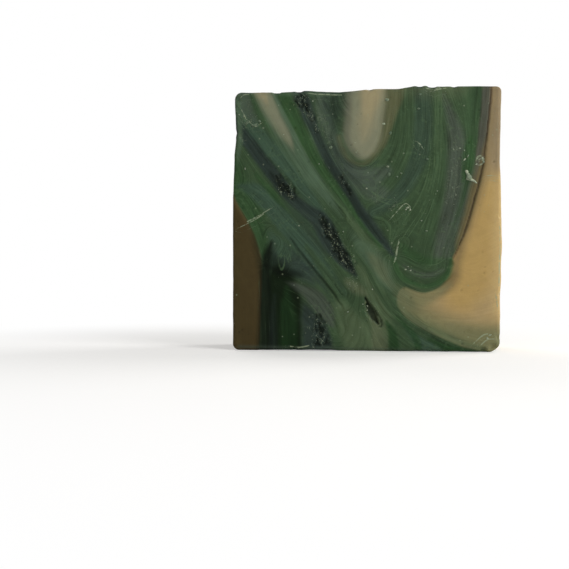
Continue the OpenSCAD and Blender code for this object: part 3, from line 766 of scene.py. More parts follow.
@dataclass
class Relief:
    """What marks do to a surface: how deep each place sinks, how dark its painted shade makes it, and how
    pale, from 0 to 1.

    The places are given one to a row, and facing says how squarely each faces the front, from 0 to 1. The
    darkness is painted shade in grooves, pits and hollows; the paleness is chalk, loose crumbs and a painted
    highlight on groove lips.
    """

    place: np.ndarray
    facing: np.ndarray
    least_facing: float = 0.05

    def __post_init__(self) -> None:
        """Starts with no marks."""
        self.flat = self.place[:, [0, 2]]
        self.front = np.nonzero(self.facing > self.least_facing)[0]
        self.depth, self.dark, self.pale = np.zeros((3, len(self.place)))

    def near(self, run: Run, reach: float) -> tuple[np.ndarray, np.ndarray, np.ndarray, np.ndarray]:
        """Finds the places of the front that lie near a run.

        Args:
            run: The run.
            reach: How far from it places still count.

        Returns:
            What Ribbon.trace gives for the run, with rows counted over the whole surface.
        """
        rows, away, half, along = Ribbon(Batter.BLACK, run).trace(self.flat[self.front], reach)
        return self.front[rows], away, half, along

    def sink(self, rows: np.ndarray, depth: np.ndarray) -> None:
        """Sinks places to a depth, where they aren't deeper already."""
        self.depth[rows] = np.maximum(self.depth[rows], self.facing[rows] * depth)

    def paint_shade(self, rows: np.ndarray, share: np.ndarray) -> None:
        """Paints shade into places, where they aren't darker already."""
        self.dark[rows] = np.maximum(self.dark[rows], share)

    def whiten(self, rows: np.ndarray, share: np.ndarray) -> None:
        """Makes places pale, where they aren't paler already."""
        self.pale[rows] = np.maximum(self.pale[rows], share)


@dataclass(frozen=True)
class Groove:
    """A groove, crack, scratch or ridge along a run on the front cut face."""

    run: Run
    depth: float
    lip: float


@dataclass
class Marks:
    """What the cutting wire, the drying and handling left on the front cut face and its edges, with painted
    shade in grooves, pits and hollows, and painted highlights on groove lips and along the left and top edges.

    Crests are given by their middle and width, in half widths of the groove. A chip is across, up and radius.
    """

    torn: tuple[Groove, ...] = (
        Groove(((0.1, 15.6, 0.3), (0.9, 13.8, 1), (1.6, 12.2, 1.7), (2.3, 10.6, 1.9), (3.2, 8.9, 1.3),
                (4.3, 7.6, 0.4)), 0.9, 0.14),
        Groove(((2.4, 12.8, 0.2), (3.9, 10.4, 0.5), (4.9, 8.2, 0.5), (4.6, 7, 0.4),
                (3.8, 6.9, 0.2)), 0.45, 0.08),
        Groove(((35.2, 74, 0.4), (34.5, 66, 0.4), (33.6, 57, 0.45), (32.6, 51, 0.45), (30.6, 43, 0.4),
                (27.5, 32.6, 0.3), (25, 26.4, 0.2)), 0.3, 0.03),
        Groove(((-21, 32.4, 0.3), (-18.4, 28.6, 0.4), (-13.6, 22.6, 0.5), (-9.6, 17.6, 0.6),
                (-5.9, 12.3, 0.3)), 0.2, 0.04),
        Groove(((-33, 36.4, 0.4), (-24, 36.7, 0.4), (-15, 36.6, 0.4), (-4, 36.9, 0.3)), 0.07, 0.04),
    )
    torn_reach: float = 3.0
    torn_ends: float = 0.06
    torn_wall: Span = (1.35, 0.55)
    # Painted shade in the grooves: how dark for each mm of depth, and how it swings with the ragged noise.
    torn_dark: float = 1.15
    torn_shade: Span = (0.9, 0.1)
    torn_least: float = 0.05
    ragged: Lattice = Lattice(8)
    ragged_length: float = 0.7
    ragged_shift: float = 0.16
    ragged_width: float = 0.25
    lip_crest: Span = (1.7, 0.45)
    # Painted highlight on the lips of the grooves: where it crests, and how strong it is.
    lip_highlight_crest: Span = (1.6, 0.4)
    lip_highlight: float = 4.0

    crumbled: tuple[Run, ...] = (
        ((-26, 51, 1.2), (-23.6, 48, 3), (-21.6, 45.4, 3.2), (-19.8, 43, 1.4)),
        ((-12.8, 40.4, 0.8), (-11.8, 37.4, 2), (-9.6, 33, 3), (-7.2, 29, 4.4), (-5, 25.6, 3.8),
         (-2, 21.6, 0.8)),
        ((-19.8, 73.6, 3.4), (-17.4, 70.4, 3.6), (-14.6, 66, 1.6), (-13, 61.6, 1.2)),
        ((-14, 11, 2.4), (-12.6, 6, 4.4), (-12, 1, 4.4)),
        ((-7, 50.6, 0.8), (-5.4, 47, 1.6), (-3.6, 43.8, 0.8)),
    )
    crumbled_ends: float = 0.15
    lumps: Lattice = Lattice(14)
    hollow_length: float = 1.3
    hollow_width: float = 0.55
    hollow_depth: float = 0.45
    hollow_from: Span = (-0.02, 0.34)
    heap_height: float = 0.1
    heap_from: Span = (0.05, 0.4)
    loose_width: float = 1.5
    loose_soft: float = 1.1
    loose_least: float = 0.3
    loose_pale_from: Span = (-0.1, 0.4)
    loose_edge: Lattice = Lattice(15)
    loose_edge_length: float = 1.6
    loose_edge_width: float = 0.9

    films_and_edge_highlights: tuple[Ribbon, ...] = (
        Ribbon(Batter.OLIVE_GREY, ((8, 76, 2), (13, 75, 6), (19, 75, 7), (26, 75, 6),
                                   (31, 76, -1)), (6, 6), 0.5),
        # Painted highlight along the rounded left edge.
        Ribbon(Batter.SAGE, ((-37.6, 74, 1.4), (-37, 70, 1.8), (-36.6, 64, 1.6), (-36.6, 58, 1.4),
                             (-37, 52, -1)), (1.4, 1.4), 0.8),
        # Painted highlight along the rounded top edge.
        Ribbon(Batter.SAGE, ((-35, 73.6, -1), (-24, 73.8, 1.2), (-12, 73.4, 1.2),
                             (-2, 73.6, -1)), (1.2, 1.2), 0.4),
        Ribbon(Batter.GREY_GREEN, ((-36, 1, 1), (-10, 0.6, 1), (6, 0.6, 0.8),
                                   (28, 0.8, -1)), (1.2, 1.2), 0.4),
    )

    chalky: tuple[Run, ...] = (
        ((26, 64, 2), (26.2, 58, 5), (25.4, 50, 5.4), (24, 43, 4), (23, 38, 2)),
        ((-36, 73, 3), (-33.6, 68, 6), (-34, 62, 4), (-35, 56, 2)),
        ((-5.4, 21, 2), (-3.4, 19, 4), (-1, 17, 2)),
        ((0, 46, 2), (5, 42.6, 4), (10, 41, 4), (13, 42, 2)),
        ((-14, 71, 2), (-11, 63, 3), (-9, 57, 2)),
    )
    chalk: float = 0.42
    chalk_reach: float = 4.0
    chalk_ends: float = 0.2
    chalk_width: float = 1.2
    chalk_soft: float = 0.8
    chalk_patches: Lattice = Lattice(16)
    chalk_patch_length: float = 1.5
    chalk_from: Span = (-0.3, 0.5)

    bubbles: int = 120
    bubble_seed: int = 5
    bubble_across: Span = (-36.5, 36.5)
    bubble_up: Span = (1, 73)
    bubble_radius: Span = (0.18, 0.4)
    bubble_depth: float = 0.5
    bubble_wall: Span = (1.15, 0.35)
    bubble_reach: float = 2.2

    chips: Run = (
        (-25.1, 74.6, 1.6), (-18.6, 74.6, 1.5), (1.5, 74.6, 1.2), (15.6, 75.1, 1.4), (19, 74.9, 1.7),
        (25.1, 74.8, 1.2), (35.8, 1, 1.9), (33, 0.4, 1.5), (37.2, 4.2, 1.3), (-37.2, 63, 1.2),
        (-37.4, 52, 0.9), (37.9, 38, 1.0), (-20, 0.2, 1.2), (-36.6, 72.6, 1.2), (37.8, 16, 0.9),
        (8, 0.1, 0.9),
    )
    chip_in: float = 0.3
    chip_depth: float = 0.5
    chip_wall: Span = (1, 0.1)
    shaded: float = 0.6

    def tear(self, relief: Relief) -> None:
        """Cuts the torn slot, the cracks and the scores, each with its lip, and paints shade into each and a
        highlight on its lip.

        Args:
            relief: What gets the marks.
        """
        for groove in self.torn:
            rows, away, half, along = relief.near(groove.run, self.torn_reach)
            ragged = self.ragged.at(relief.flat[rows], self.ragged_length)
            width = np.maximum(half * (1 + self.ragged_width * ragged), self.torn_least)
            wall = np.abs(away + self.ragged_shift * ragged) / width
            ends = taper(along, self.torn_ends)
            cut = ramp(wall, *self.torn_wall) * ends
            lip = groove.lip * ends
            sunk = groove.depth * cut - lip * bell(wall, *self.lip_crest)
            relief.depth[rows] += relief.facing[rows] * sunk
            shade = self.torn_shade[0] + self.torn_shade[1] * ragged
            # Painted shade in the groove.
            relief.paint_shade(rows, cut * min(1, self.torn_dark * groove.depth) * shade)
            # Painted highlight on the lip.
            relief.pale[rows] += self.lip_highlight * lip * bell(wall, *self.lip_highlight_crest)

    def crumble(self, relief: Relief) -> None:
        """Tears out hollows where the charcoal crumbled, paints shade into them, and heaps pale loose lumps
        between them.

        Args:
            relief: What gets the marks.
        """
        for run in self.crumbled:
            rows, away, half, along = relief.near(run, self.torn_reach)
            length = np.hypot(*np.diff(np.array(run)[:, :2], axis=0).T).sum()
            dragged = np.stack([along * length / self.hollow_length, away / self.hollow_width], axis=1)
            lumps = self.lumps.layered(dragged, 1, 2)
            edge = self.loose_edge.layered(relief.flat[rows], self.loose_edge_length, 2)
            share = np.abs(away) / np.maximum(half, self.loose_least)
            inside = self.loose_width - share + self.loose_edge_width * edge
            loose = ramp(inside, 0, self.loose_soft) * taper(along, self.crumbled_ends)
            hollow = ramp(lumps, *self.hollow_from) * loose
            relief.sink(rows, self.hollow_depth * hollow)
            heap = self.heap_height * loose * ramp(-lumps, *self.heap_from)
            relief.depth[rows] -= relief.facing[rows] * heap
            # Painted shade in the crumbled hollows.
            relief.paint_shade(rows, hollow)
            relief.whiten(rows, loose * (1 + ramp(-lumps, *self.loose_pale_from)) / 2)

    def chalk_over(self, relief: Relief) -> None:
        """Leaves a patchy chalky bloom.

        Args:
            relief: What gets the marks.
        """
        for run in self.chalky:
            rows, away, half, along = relief.near(run, self.chalk_reach)
            patches = self.chalk_patches.layered(relief.flat[rows], self.chalk_patch_length, 3)
            inside = ramp(self.chalk_width - np.abs(away) / half, 0, self.chalk_soft)
            share = self.chalk * inside * taper(along, self.chalk_ends) * ramp(patches, *self.chalk_from)
            relief.whiten(rows, share * relief.facing[rows])

    def burst(self, relief: Relief) -> None:
        """Scatters small burst bubbles, with painted shade inside them.

        Args:
            relief: What gets the marks.
        """
        chance = np.random.default_rng(self.bubble_seed)
        flat = relief.flat[relief.front]
        for _ in range(self.bubbles):
            radius = chance.uniform(*self.bubble_radius)
            middle = [chance.uniform(*self.bubble_across), chance.uniform(*self.bubble_up)]
            gap = np.hypot(*(flat - middle).T) / radius
            hit = gap < self.bubble_reach
            rows, hollow = relief.front[hit], ramp(gap[hit], *self.bubble_wall)
            depth = self.bubble_depth * radius
            relief.sink(rows, depth * hollow)
            # Painted shade inside the bubble.
            relief.paint_shade(rows, 2 * depth * hollow)

    def chip(self, relief: Relief) -> None:
        """Breaks chips out of the edges and corners.

        Args:
            relief: What gets the marks.
        """
        for across, up, radius in self.chips:
            middle = np.array([across, FRONT + self.chip_in, up])
            gap = np.linalg.norm(relief.place - middle, axis=1) / radius
            relief.depth += self.chip_depth * radius * ramp(gap, *self.chip_wall)

    def leave(self, place: np.ndarray, facing: np.ndarray) -> Relief:
        """Leaves all the marks on a surface.

        Args:
            place: Places on the bar's surface, one to a row.
            facing: How squarely each faces the front, from 0 to 1.

        Returns:
            What the marks do to the surface.
        """
        relief = Relief(place, facing)
        for mark in (self.tear, self.crumble, self.chalk_over, self.burst, self.chip):
            mark(relief)
        relief.pale = np.clip(relief.pale - self.shaded * relief.dark, 0, 1)
        return relief

    def smear(self, flat: np.ndarray, facing: np.ndarray, colour: np.ndarray) -> None:
        """Smears thin films of batter over the front cut face, and paints highlights along its rounded left
        and top edges.

        Args:
            flat: Across and up, one place to a row.
            facing: How squarely each place faces the front, from 0 to 1.
            colour: Linear red, green and blue at each place, which the films change.
        """
        for film in self.films_and_edge_highlights:
            rows, cover = film.cover(flat, np.zeros(len(flat)))
            colour[rows] += (cover * facing[rows])[:, None] * (film.batter.channels[:3] - colour[rows])


class Pale(Enum):
    """Sets of fine pale lines: lines scratched in handling, some of them painted highlights along the top and
    right edges, and threads of pale batter dragged with the pour.
    """

    SCRATCH = "scratches"
    THREAD = "threads"


@dataclass
class FineLines:
    """Lines too fine for the net of the mesh, kept as distances that the finish draws."""

    scratches: tuple[Run, ...] = (
        ((-34, 37, 0.06), (-30, 39, 0.12), (-26.5, 41, 0.04)),
        ((-36, 35.4, 0.02), (-31.4, 37.6, 0.06), (-28.6, 39.4, 0.02)),
        ((9.8, 31.4, 0.2), (9.2, 28.9, 0.34), (8.8, 26.4, 0.3), (8.3, 25.1, 0.2)),
        ((7.4, 37.6, 0.1), (9, 39.4, 0.12), (11, 41.6, 0.04)),
        ((10.6, 41.2, 0.02), (11.8, 41.8, 0.08), (12.8, 40.8, 0.14), (12.4, 39.4, 0.06)),
        # Lines along the top edge: scuffs with a painted highlight of the rounded edge.
        ((17, 73.4, 0.2), (19.4, 73.9, 0.3), (21.4, 74.1, 0.1)),
        ((18.6, 72.8, 0.16), (20.8, 73.5, 0.22), (23, 73.9, 0.1)),
        ((-16.4, 73.6, 0.14), (-11, 73.4, 0.2), (-6, 73.3, 0.1)),
        ((-36.2, 72.4, 0.14), (-35, 73.6, 0.2), (-32.4, 73.8, 0.1)),
        ((-21.4, 1.3, 0.2), (-18.6, 0.9, 0.3), (-15.4, 1.6, 0.16)),
        ((30.4, 2.3, 0.14), (33.3, 4.9, 0.24), (35.8, 5.2, 0.14)),
        ((32.4, 1.9, 0.1), (34.4, 3.6, 0.2), (36.4, 3.8, 0.1)),
        # These two lines are a painted highlight along the rounded right edge.
        ((37.3, 36, 0.2), (37.4, 27, 0.36), (37.3, 18, 0.2)),
        ((36.5, 16.4, 0.16), (36.8, 14.6, 0.26), (37.1, 12.6, 0.14)),
        ((-34.4, 66.8, 0.2), (-33, 65.2, 0.3), (-31.6, 64.6, 0.3), (-30, 65.6, 0.2)),
        ((-36, 69.4, 0.16), (-35, 67.6, 0.24), (-34.6, 66.4, 0.1)),
        ((15, 58.9, 0.14), (15.8, 58.3, 0.2), (16.4, 57.4, 0.1)),
        ((31.4, 52.8, 0.1), (31.3, 53.8, 0.2), (32, 54.8, 0.24), (32.9, 54.7, 0.24), (33.4, 53.8, 0.2),
         (33.1, 52.8, 0.2), (32.3, 52.2, 0.16), (31.6, 52.4, 0.1)),
        ((32, 53.4, 0.1), (32.3, 54, 0.16), (32.9, 53.9, 0.16), (32.8, 53.2, 0.1)),
        ((34, 49.2, 0.06), (35.4, 49.3, 0.14), (36.6, 49.1, 0.06)),
        ((33.6, 47.8, 0.06), (35, 47.9, 0.12), (36.4, 47.7, 0.04)),
    )
    threads: tuple[Run, ...] = (
        ((19.8, 75, 0.16), (19.8, 62, 0.24), (19.2, 50, 0.2), (16.4, 41, 0.24), (12.6, 35, 0.16),
         (10, 31, 0.1)),
        ((20.6, 75, 0.12), (20.6, 62, 0.2), (20, 50, 0.16), (17.4, 41, 0.2), (14, 35, 0.14),
         (11, 30.6, 0.1)),
        ((21.4, 75, 0.12), (21.6, 62, 0.16), (21, 50, 0.16), (18.8, 41, 0.14), (15.6, 34, 0.1)),
        ((18.6, 60, 0.1), (18, 51, 0.16), (15, 42.6, 0.2), (11, 36.6, 0.12)),
        ((1.2, 23.6, 0.1), (4.2, 18, 0.2), (7.4, 13.2, 0.2), (11, 9.9, 0.2), (15, 7, 0.12)),
        ((0.4, 22.6, 0.1), (3.2, 17.6, 0.16), (6.2, 12.8, 0.2), (9.8, 9, 0.16), (13.4, 6.6, 0.1)),
        ((-19, 57, 0.1), (-13, 49, 0.14), (-7, 41.4, 0.16), (-1, 33.4, 0.16), (4, 26.4, 0.1)),
        ((-24.6, 28, 0.1), (-24.4, 25, 0.3), (-23.6, 23.2, 0.36), (-22.8, 25, 0.3), (-22.7, 28, 0.1)),
        ((-22.2, 29, 0.1), (-22, 26.8, 0.2), (-21.6, 25.2, 0.1)),
        ((-21.5, 28.8, 0.1), (-21.2, 27, 0.2), (-20.8, 25.6, 0.1)),
        ((11, 23.8, 0.14), (14.4, 22, 0.24), (18.4, 21.6, 0.24), (22.6, 23.4, 0.14)),
        ((12.6, 26.4, 0.1), (16, 24.6, 0.16), (20, 24.6, 0.16), (22.8, 26.4, 0.1)),
        ((-4.8, 55.4, 0.1), (-2, 52.9, 0.14), (1.4, 52.8, 0.14), (4, 55.2, 0.1)),
        ((3, 43.4, 0.1), (7, 41.6, 0.2), (10.6, 42, 0.14), (13, 44.4, 0.1)),
        ((1.6, 45.6, 0.1), (5, 43.4, 0.16), (8.6, 43.2, 0.16), (11.4, 45.4, 0.1)),
    )
    reach: float = 1.6
    ends: float = 0.05
    worn_end: float = 0.3

    def away(self, kind: Pale, place: np.ndarray) -> np.ndarray:
        """Measures how far places lie from the nearest line of a set.

        Args:
            kind: Which set of lines.
            place: Across and up, one place to a row.

        Returns:
            The signed distance less half the line's own width, in mm.
        """
        nearest = np.full(len(place), self.reach)
        for run in getattr(self, kind.value):
            rows, away, half, along = Ribbon(Batter.CREAM, run).trace(place, self.reach)
            fade = taper(along, self.ends)
            gap = np.abs(away) - half * fade + self.worn_end * (1 - fade)
            closer = gap < np.abs(nearest[rows])
            nearest[rows] = np.where(closer, np.copysign(np.maximum(gap, 0), away), nearest[rows])
        return nearest


class Noise(Enum):
    """The noises of the finishes: how many lumps each has to a metre, and its finer layers."""

    WIDE_STREAK = (90, 3)
    FINE_STREAK = (76, 2)
    MOTTLE = (420, 4)
    DUST = (3600, 2)
    FLECK = (2400, 3)
    PATCH = (260, 2)
    CHALK = (900, 4)
    CHALK_PATCH = (150, 2)
    BREAK = (1500, 2)
    CRUMB = (2600, 3)


class Graph:
    """A short hand for building the nodes of a material or of the world."""

    def __init__(self, owner: bpy.types.Material | bpy.types.World) -> None:
        """Starts with no nodes.

        Args:
            owner: What gets the nodes.
        """
        owner.use_nodes = True
        self.owner = owner
        self.tree = owner.node_tree
        self.tree.nodes.clear()

    def add(self, kind: str, inputs: dict[str | int, object] | None = None,
            **settings: object) -> bpy.types.Node:
        """Adds a node.

        Args:
            kind: Its type.
            inputs: Values or sockets for its inputs, by name or number.
            **settings: Its own settings.

        Returns:
            The node.
        """
        node = self.tree.nodes.new(kind)
        for key, value in settings.items():
            setattr(node, key, value)
        for key, value in (inputs or {}).items():
            if isinstance(value, Socket):
                self.tree.links.new(value, node.inputs[key])
            else:
                node.inputs[key].default_value = value
        return node

    def maths(self, operation: str, *values: Socket | float) -> Socket:
        """Adds a sum and gives its result."""
        return self.add("ShaderNodeMath", dict(enumerate(values)), operation=operation).outputs[0]

    def product(self, first: Socket, *others: Socket | float) -> Socket:
        """Multiplies numbers.

        Args:
            first: The first of them.
            *others: The others.

        Returns:
            Their product.
        """
        result = first
        for other in others:
            result = self.maths("MULTIPLY", result, other)
        return result

    def swing(self, noise: Socket, amount: Socket | float) -> Socket:
        """Turns a noise from 0 to 1 into a swing of that amount round 0."""
        return self.product(self.maths("SUBTRACT", noise, 0.5), amount)

    def ramp(self, value: Socket, span: Span) -> Socket:
        """Rises smoothly from 0 at the start of a span to 1 at its end.

        Args:
            value: Where the ramp is wanted.
            span: Its start and end. The end may lie below the start, and then the ramp falls.

        Returns:
            The ramp.
        """
        falls = span[0] > span[1]
        inputs = {0: value, 1: min(span), 2: max(span), 3: float(falls), 4: float(not falls)}
        return self.add("ShaderNodeMapRange", inputs, interpolation_type="SMOOTHSTEP").outputs[0]

    def kept(self, name: str) -> Socket:
        """Reads a number that the mesh keeps."""
        return self.add("ShaderNodeAttribute", attribute_name=name).outputs["Fac"]

    def noise(self, kind: Noise, where: Socket, turn: Socket | None = None) -> Socket:
        """Adds noise.

        Args:
            kind: Which noise.
            where: The place at which it is read.
            turn: A number with which the noise changes from one flow line to the next.

        Returns:
            The noise, from 0 to 1.
        """
        lumps, layers = kind.value
        inputs = {"Vector": where, "Scale": lumps, "Detail": layers, "Roughness": 0.55}
        if turn is None:
            return self.add("ShaderNodeTexNoise", inputs, noise_dimensions="3D").outputs["Fac"]
        return self.add("ShaderNodeTexNoise", inputs | {"W": turn}, noise_dimensions="4D").outputs["Fac"]

    def mix(self, share: Socket, under: Socket | tuple[float, ...], over: tuple[float, ...]) -> Socket:
        """Lays one colour over another."""
        return self.add("ShaderNodeMix", {0: share, 6: under, 7: over}, data_type="RGBA").outputs[2]

    def seen(self) -> Socket:
        """Picks out the rays that show the background.

        Returns:
            1 for rays from the camera and for those that mirrors and glass send on to it, else 0.
        """
        rays = self.add("ShaderNodeLightPath").outputs
        sent_on = self.maths("MAXIMUM", rays["Is Glossy Ray"], rays["Is Transmission Ray"])
        return self.maths("MAXIMUM", rays["Is Camera Ray"], sent_on)


@dataclass(frozen=True)
class SoapFinish:
    """Waxy cold-process soap: smooth, a little translucent, streaked with the pour and grained where rough.

    Each span says between which values a mark sets in, and each share how strongly it shows.
    """

    roughness: float = 0.45
    roughness_swing: float = 0.3
    grain_roughness: float = 0.18
    shine: float = 0.06
    translucence: float = 0.22
    bleed: tuple[float, float, float] = (1.0, 0.75, 0.4)
    bleed_mm: float = 1.2

    # Pale colour of scratches, specks and flecks, and of the painted highlights among the scratch lines.
    scratch: Colour = (150, 162, 134)
    thread: Colour = (84, 108, 76)
    # Painted shade in grooves, pits and hollows.
    hollow: Colour = (19, 27, 20)

    wide_step: float = 0.011
    fine_step: float = 0.042
    fine_streak: float = 0.7
    streak: float = 1.25
    plain_streak: float = 0.18
    streaked: Span = (0.1, 0.26)
    mottling: float = 0.22
    plain_grit: float = 0.08
    grit: float = 0.7

    specks_a_metre: float = 900.0
    speck_edge: Span = (0.3, 0.12)
    speck_picked: Span = (0.955, 0.97)
    speck_share: float = 0.35
    painted_shade_share: float = 0.9
    fleck: Span = (0.53, 0.66)
    fleck_share: float = 0.62
    combed: Span = (0.6, 0.74)
    combed_grain: Span = (0.22, 0.32)
    combed_share: float = 0.32
    patch: Span = (0.3, 0.6)
    chalk: Span = (0.48, 0.72)
    chalk_patch: Span = (0.4, 0.62)
    chalk_grain: Span = (0.16, 0.3)
    chalk_light: Span = (0.03, 0.07)
    chalk_share: float = 0.4
    thread_edge: Span = (0.16, 0.02)
    thread_share: float = 0.5
    scratch_edge: Span = (0.14, 0.03)
    scratch_break: Span = (0.34, 0.56)
    scratch_share: float = 0.75

    bump_m: float = 0.00008
    bump_strength: float = 0.7
    plain_dust: float = 0.12
    dust: float = 0.8
    streak_height: float = 0.35
    line_height: float = 0.5

    def line(self, g: Graph, name: str, edge: Span, *shares: Socket | float) -> Socket:
        """Draws a set of fine lines where the kept distance to them is small."""
        return g.product(g.ramp(g.maths("ABSOLUTE", g.kept(name)), edge), *shares)

    def specks(self, g: Graph, where: Socket) -> Socket:
        """Scatters small pale specks.

        Args:
            g: The material's nodes.
            where: The place on the bar.

        Returns:
            The share of the specks.
        """
        cells = g.add("ShaderNodeTexVoronoi", {"Vector": where, "Scale": self.specks_a_metre}, feature="F1")
        draw = g.add("ShaderNodeSeparateColor", {0: cells.outputs["Color"]}).outputs[0]
        return g.product(g.ramp(cells.outputs["Distance"], self.speck_edge), g.ramp(draw, self.speck_picked),
                         self.speck_share)

    def chalking(self, g: Graph, where: Socket, marbling: Socket, grain: Socket) -> Socket:
        """Blooms patches of chalk on grained batter that isn't dark.

        Args:
            g: The material's nodes.
            where: The place on the bar.
            marbling: The colour of the batter.
            grain: Its grain.

        Returns:
            The share of the chalk.
        """
        light = g.add("ShaderNodeRGBToBW", {0: marbling}).outputs[0]
        return g.product(g.ramp(g.noise(Noise.CHALK, where), self.chalk),
                         g.ramp(g.noise(Noise.CHALK_PATCH, where), self.chalk_patch),
                         g.ramp(grain, self.chalk_grain), g.ramp(light, self.chalk_light), self.chalk_share)

    def build(self) -> bpy.types.Material:
        """Builds the material of the bar.

        Returns:
            The material.
        """
        g = Graph(bpy.data.materials.new("marbled_soap"))
        where = g.add("ShaderNodeTexCoord").outputs["Object"]
        marbling = g.add("ShaderNodeAttribute", attribute_name="marbling").outputs["Color"]
        grain, stream = g.kept("grain"), g.kept("stream")
        wide = g.noise(Noise.WIDE_STREAK, where, g.product(stream, self.wide_step))
        fine = g.noise(Noise.FINE_STREAK, where, g.product(stream, self.fine_step))
        mottle, dust = g.noise(Noise.MOTTLE, where), g.noise(Noise.DUST, where)

        streaks = g.maths("ADD", g.maths("SUBTRACT", wide, 0.5), g.swing(fine, self.fine_streak))
        streaked = g.ramp(grain, self.streaked)
        shown = g.maths("MULTIPLY_ADD", streaked, 1 - self.plain_streak, self.plain_streak)
        lift = g.maths("MULTIPLY_ADD", streaks, g.product(shown, self.streak), 1.0)
        lift = g.maths("ADD", lift, g.swing(mottle, self.mottling))
        grit = g.maths("MULTIPLY_ADD", grain, self.grit, self.plain_grit)
        lift = g.maths("ADD", lift, g.swing(dust, grit))
        colour = g.add("ShaderNodeHueSaturation", {"Value": lift, "Color": marbling}).outputs[0]

        patchy = g.ramp(g.noise(Noise.PATCH, where), self.patch)
        broken = g.ramp(g.noise(Noise.BREAK, where), self.scratch_break)
        flecks = g.ramp(g.noise(Noise.FLECK, where), self.fleck)
        combed = g.product(g.ramp(fine, self.combed), g.ramp(grain, self.combed_grain))
        thread = self.line(g, "thread", self.thread_edge, patchy, self.thread_share)
        scratch = self.line(g, "scratch", self.scratch_edge, broken, self.scratch_share)
        for share, tone in (
            (self.specks(g, where), self.scratch),
            # Painted shade in grooves, pits and hollows.
            (g.product(g.kept("hollow"), self.painted_shade_share), self.hollow),
            # Pale flecks on chalk, on loose crumbs and on the painted highlight of groove lips.
            (g.product(flecks, g.kept("rim"), self.fleck_share), self.scratch),
            (g.product(combed, patchy, self.combed_share), self.thread),
            (self.chalking(g, where, marbling, grain), self.thread),
            (thread, self.thread),
            # Scratch lines, some of them painted highlights along the top and right edges.
            (scratch, self.scratch),
        ):
            colour = g.mix(share, colour, (*to_linear(tone), 1))

        gloss = g.maths("ADD", g.swing(mottle, self.roughness_swing), self.roughness)
        gloss = g.maths("MULTIPLY_ADD", grain, self.grain_roughness, gloss)
        dusty = g.product(dust, g.maths("MULTIPLY_ADD", grain, self.dust, self.plain_dust))
        heights = g.maths("MULTIPLY_ADD", fine, self.streak_height, dusty)
        heights = g.maths("MULTIPLY_ADD", g.maths("ADD", scratch, thread), self.line_height, heights)
        bump = g.add("ShaderNodeBump", {
            "Height": heights, "Distance": self.bump_m, "Strength": self.bump_strength,
        })
        shader = g.add("ShaderNodeBsdfPrincipled", {
            "Base Color": colour, "Roughness": gloss, "Normal": bump.outputs[0], "IOR": SOAP_REFRACTION,
            "Specular IOR Level": self.shine, "Subsurface Weight": self.translucence,
            "Subsurface Radius": self.bleed, "Subsurface Scale": self.bleed_mm * MM,
        })
        g.add("ShaderNodeOutputMaterial", {0: shader.outputs[0]})
        return g.owner


@dataclass(frozen=True)
class CrumbFinish:
    """Small crumbs and curls of the same soap, pale and dry at their edges."""

    green: Colour = (70, 92, 68)
    pale: Colour = (158, 168, 142)
    turning_pale: Span = (0.1, 0.95)
    mottling: float = 0.9
    roughness: float = 0.6
    translucence: float = 0.15
    bleed: tuple[float, float, float] = (1.0, 0.8, 0.5)
    bleed_mm: float = 0.6
    bump_m: float = 0.0001
    bump_strength: float = 0.8

    def build(self) -> bpy.types.Material:
        """Builds the material of the crumbs.

        Returns:
            The material.
        """
        g = Graph(bpy.data.materials.new("soap_crumb"))
        mottle = g.noise(Noise.CRUMB, g.add("ShaderNodeTexCoord").outputs["Object"])
        share = g.ramp(g.maths("ADD", g.kept("paleness"), g.swing(mottle, self.mottling)), self.turning_pale)
        colour = g.mix(share, (*to_linear(self.green), 1), (*to_linear(self.pale), 1))
        bump = g.add("ShaderNodeBump", {
            "Height": mottle, "Distance": self.bump_m, "Strength": self.bump_strength,
        })
        shader = g.add("ShaderNodeBsdfPrincipled", {
            "Base Color": colour, "Roughness": self.roughness, "Normal": bump.outputs[0],
            "IOR": SOAP_REFRACTION, "Subsurface Weight": self.translucence,
            "Subsurface Radius": self.bleed, "Subsurface Scale": self.bleed_mm * MM,
        })
        g.add("ShaderNodeOutputMaterial", {0: shader.outputs[0]})
        return g.owner


def make_piece(name: str, vertices: np.ndarray, faces: Faces, material: bpy.types.Material,
               kept: dict[str, np.ndarray]) -> bpy.types.Object:
    """Makes a smooth-shaded mesh object.

    Args:
        name: Name of the piece.
        vertices: Places in mm, one to a row.
        faces: Corners of each face.
        material: Its finish.
        kept: Numbers or colours to keep at the vertices, by name.

    Returns:
        The object.
    """
    mesh = bpy.data.meshes.new(name)
    mesh.from_pydata((vertices * MM).tolist(), [], faces)
    mesh.shade_smooth()
    for key, values in kept.items():
        if values.ndim == 2:
            full = np.concatenate([values, np.ones((len(values), 1))], axis=1)
            mesh.attributes.new(key, "FLOAT_COLOR", "POINT").data.foreach_set("color", full.ravel())
        else:
            mesh.attributes.new(key, "FLOAT", "POINT").data.foreach_set("value", values)
    mesh.materials.append(material)
    piece = bpy.data.objects.new(name, mesh)
    bpy.context.scene.collection.objects.link(piece)
    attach(piece, BODY)
    return piece


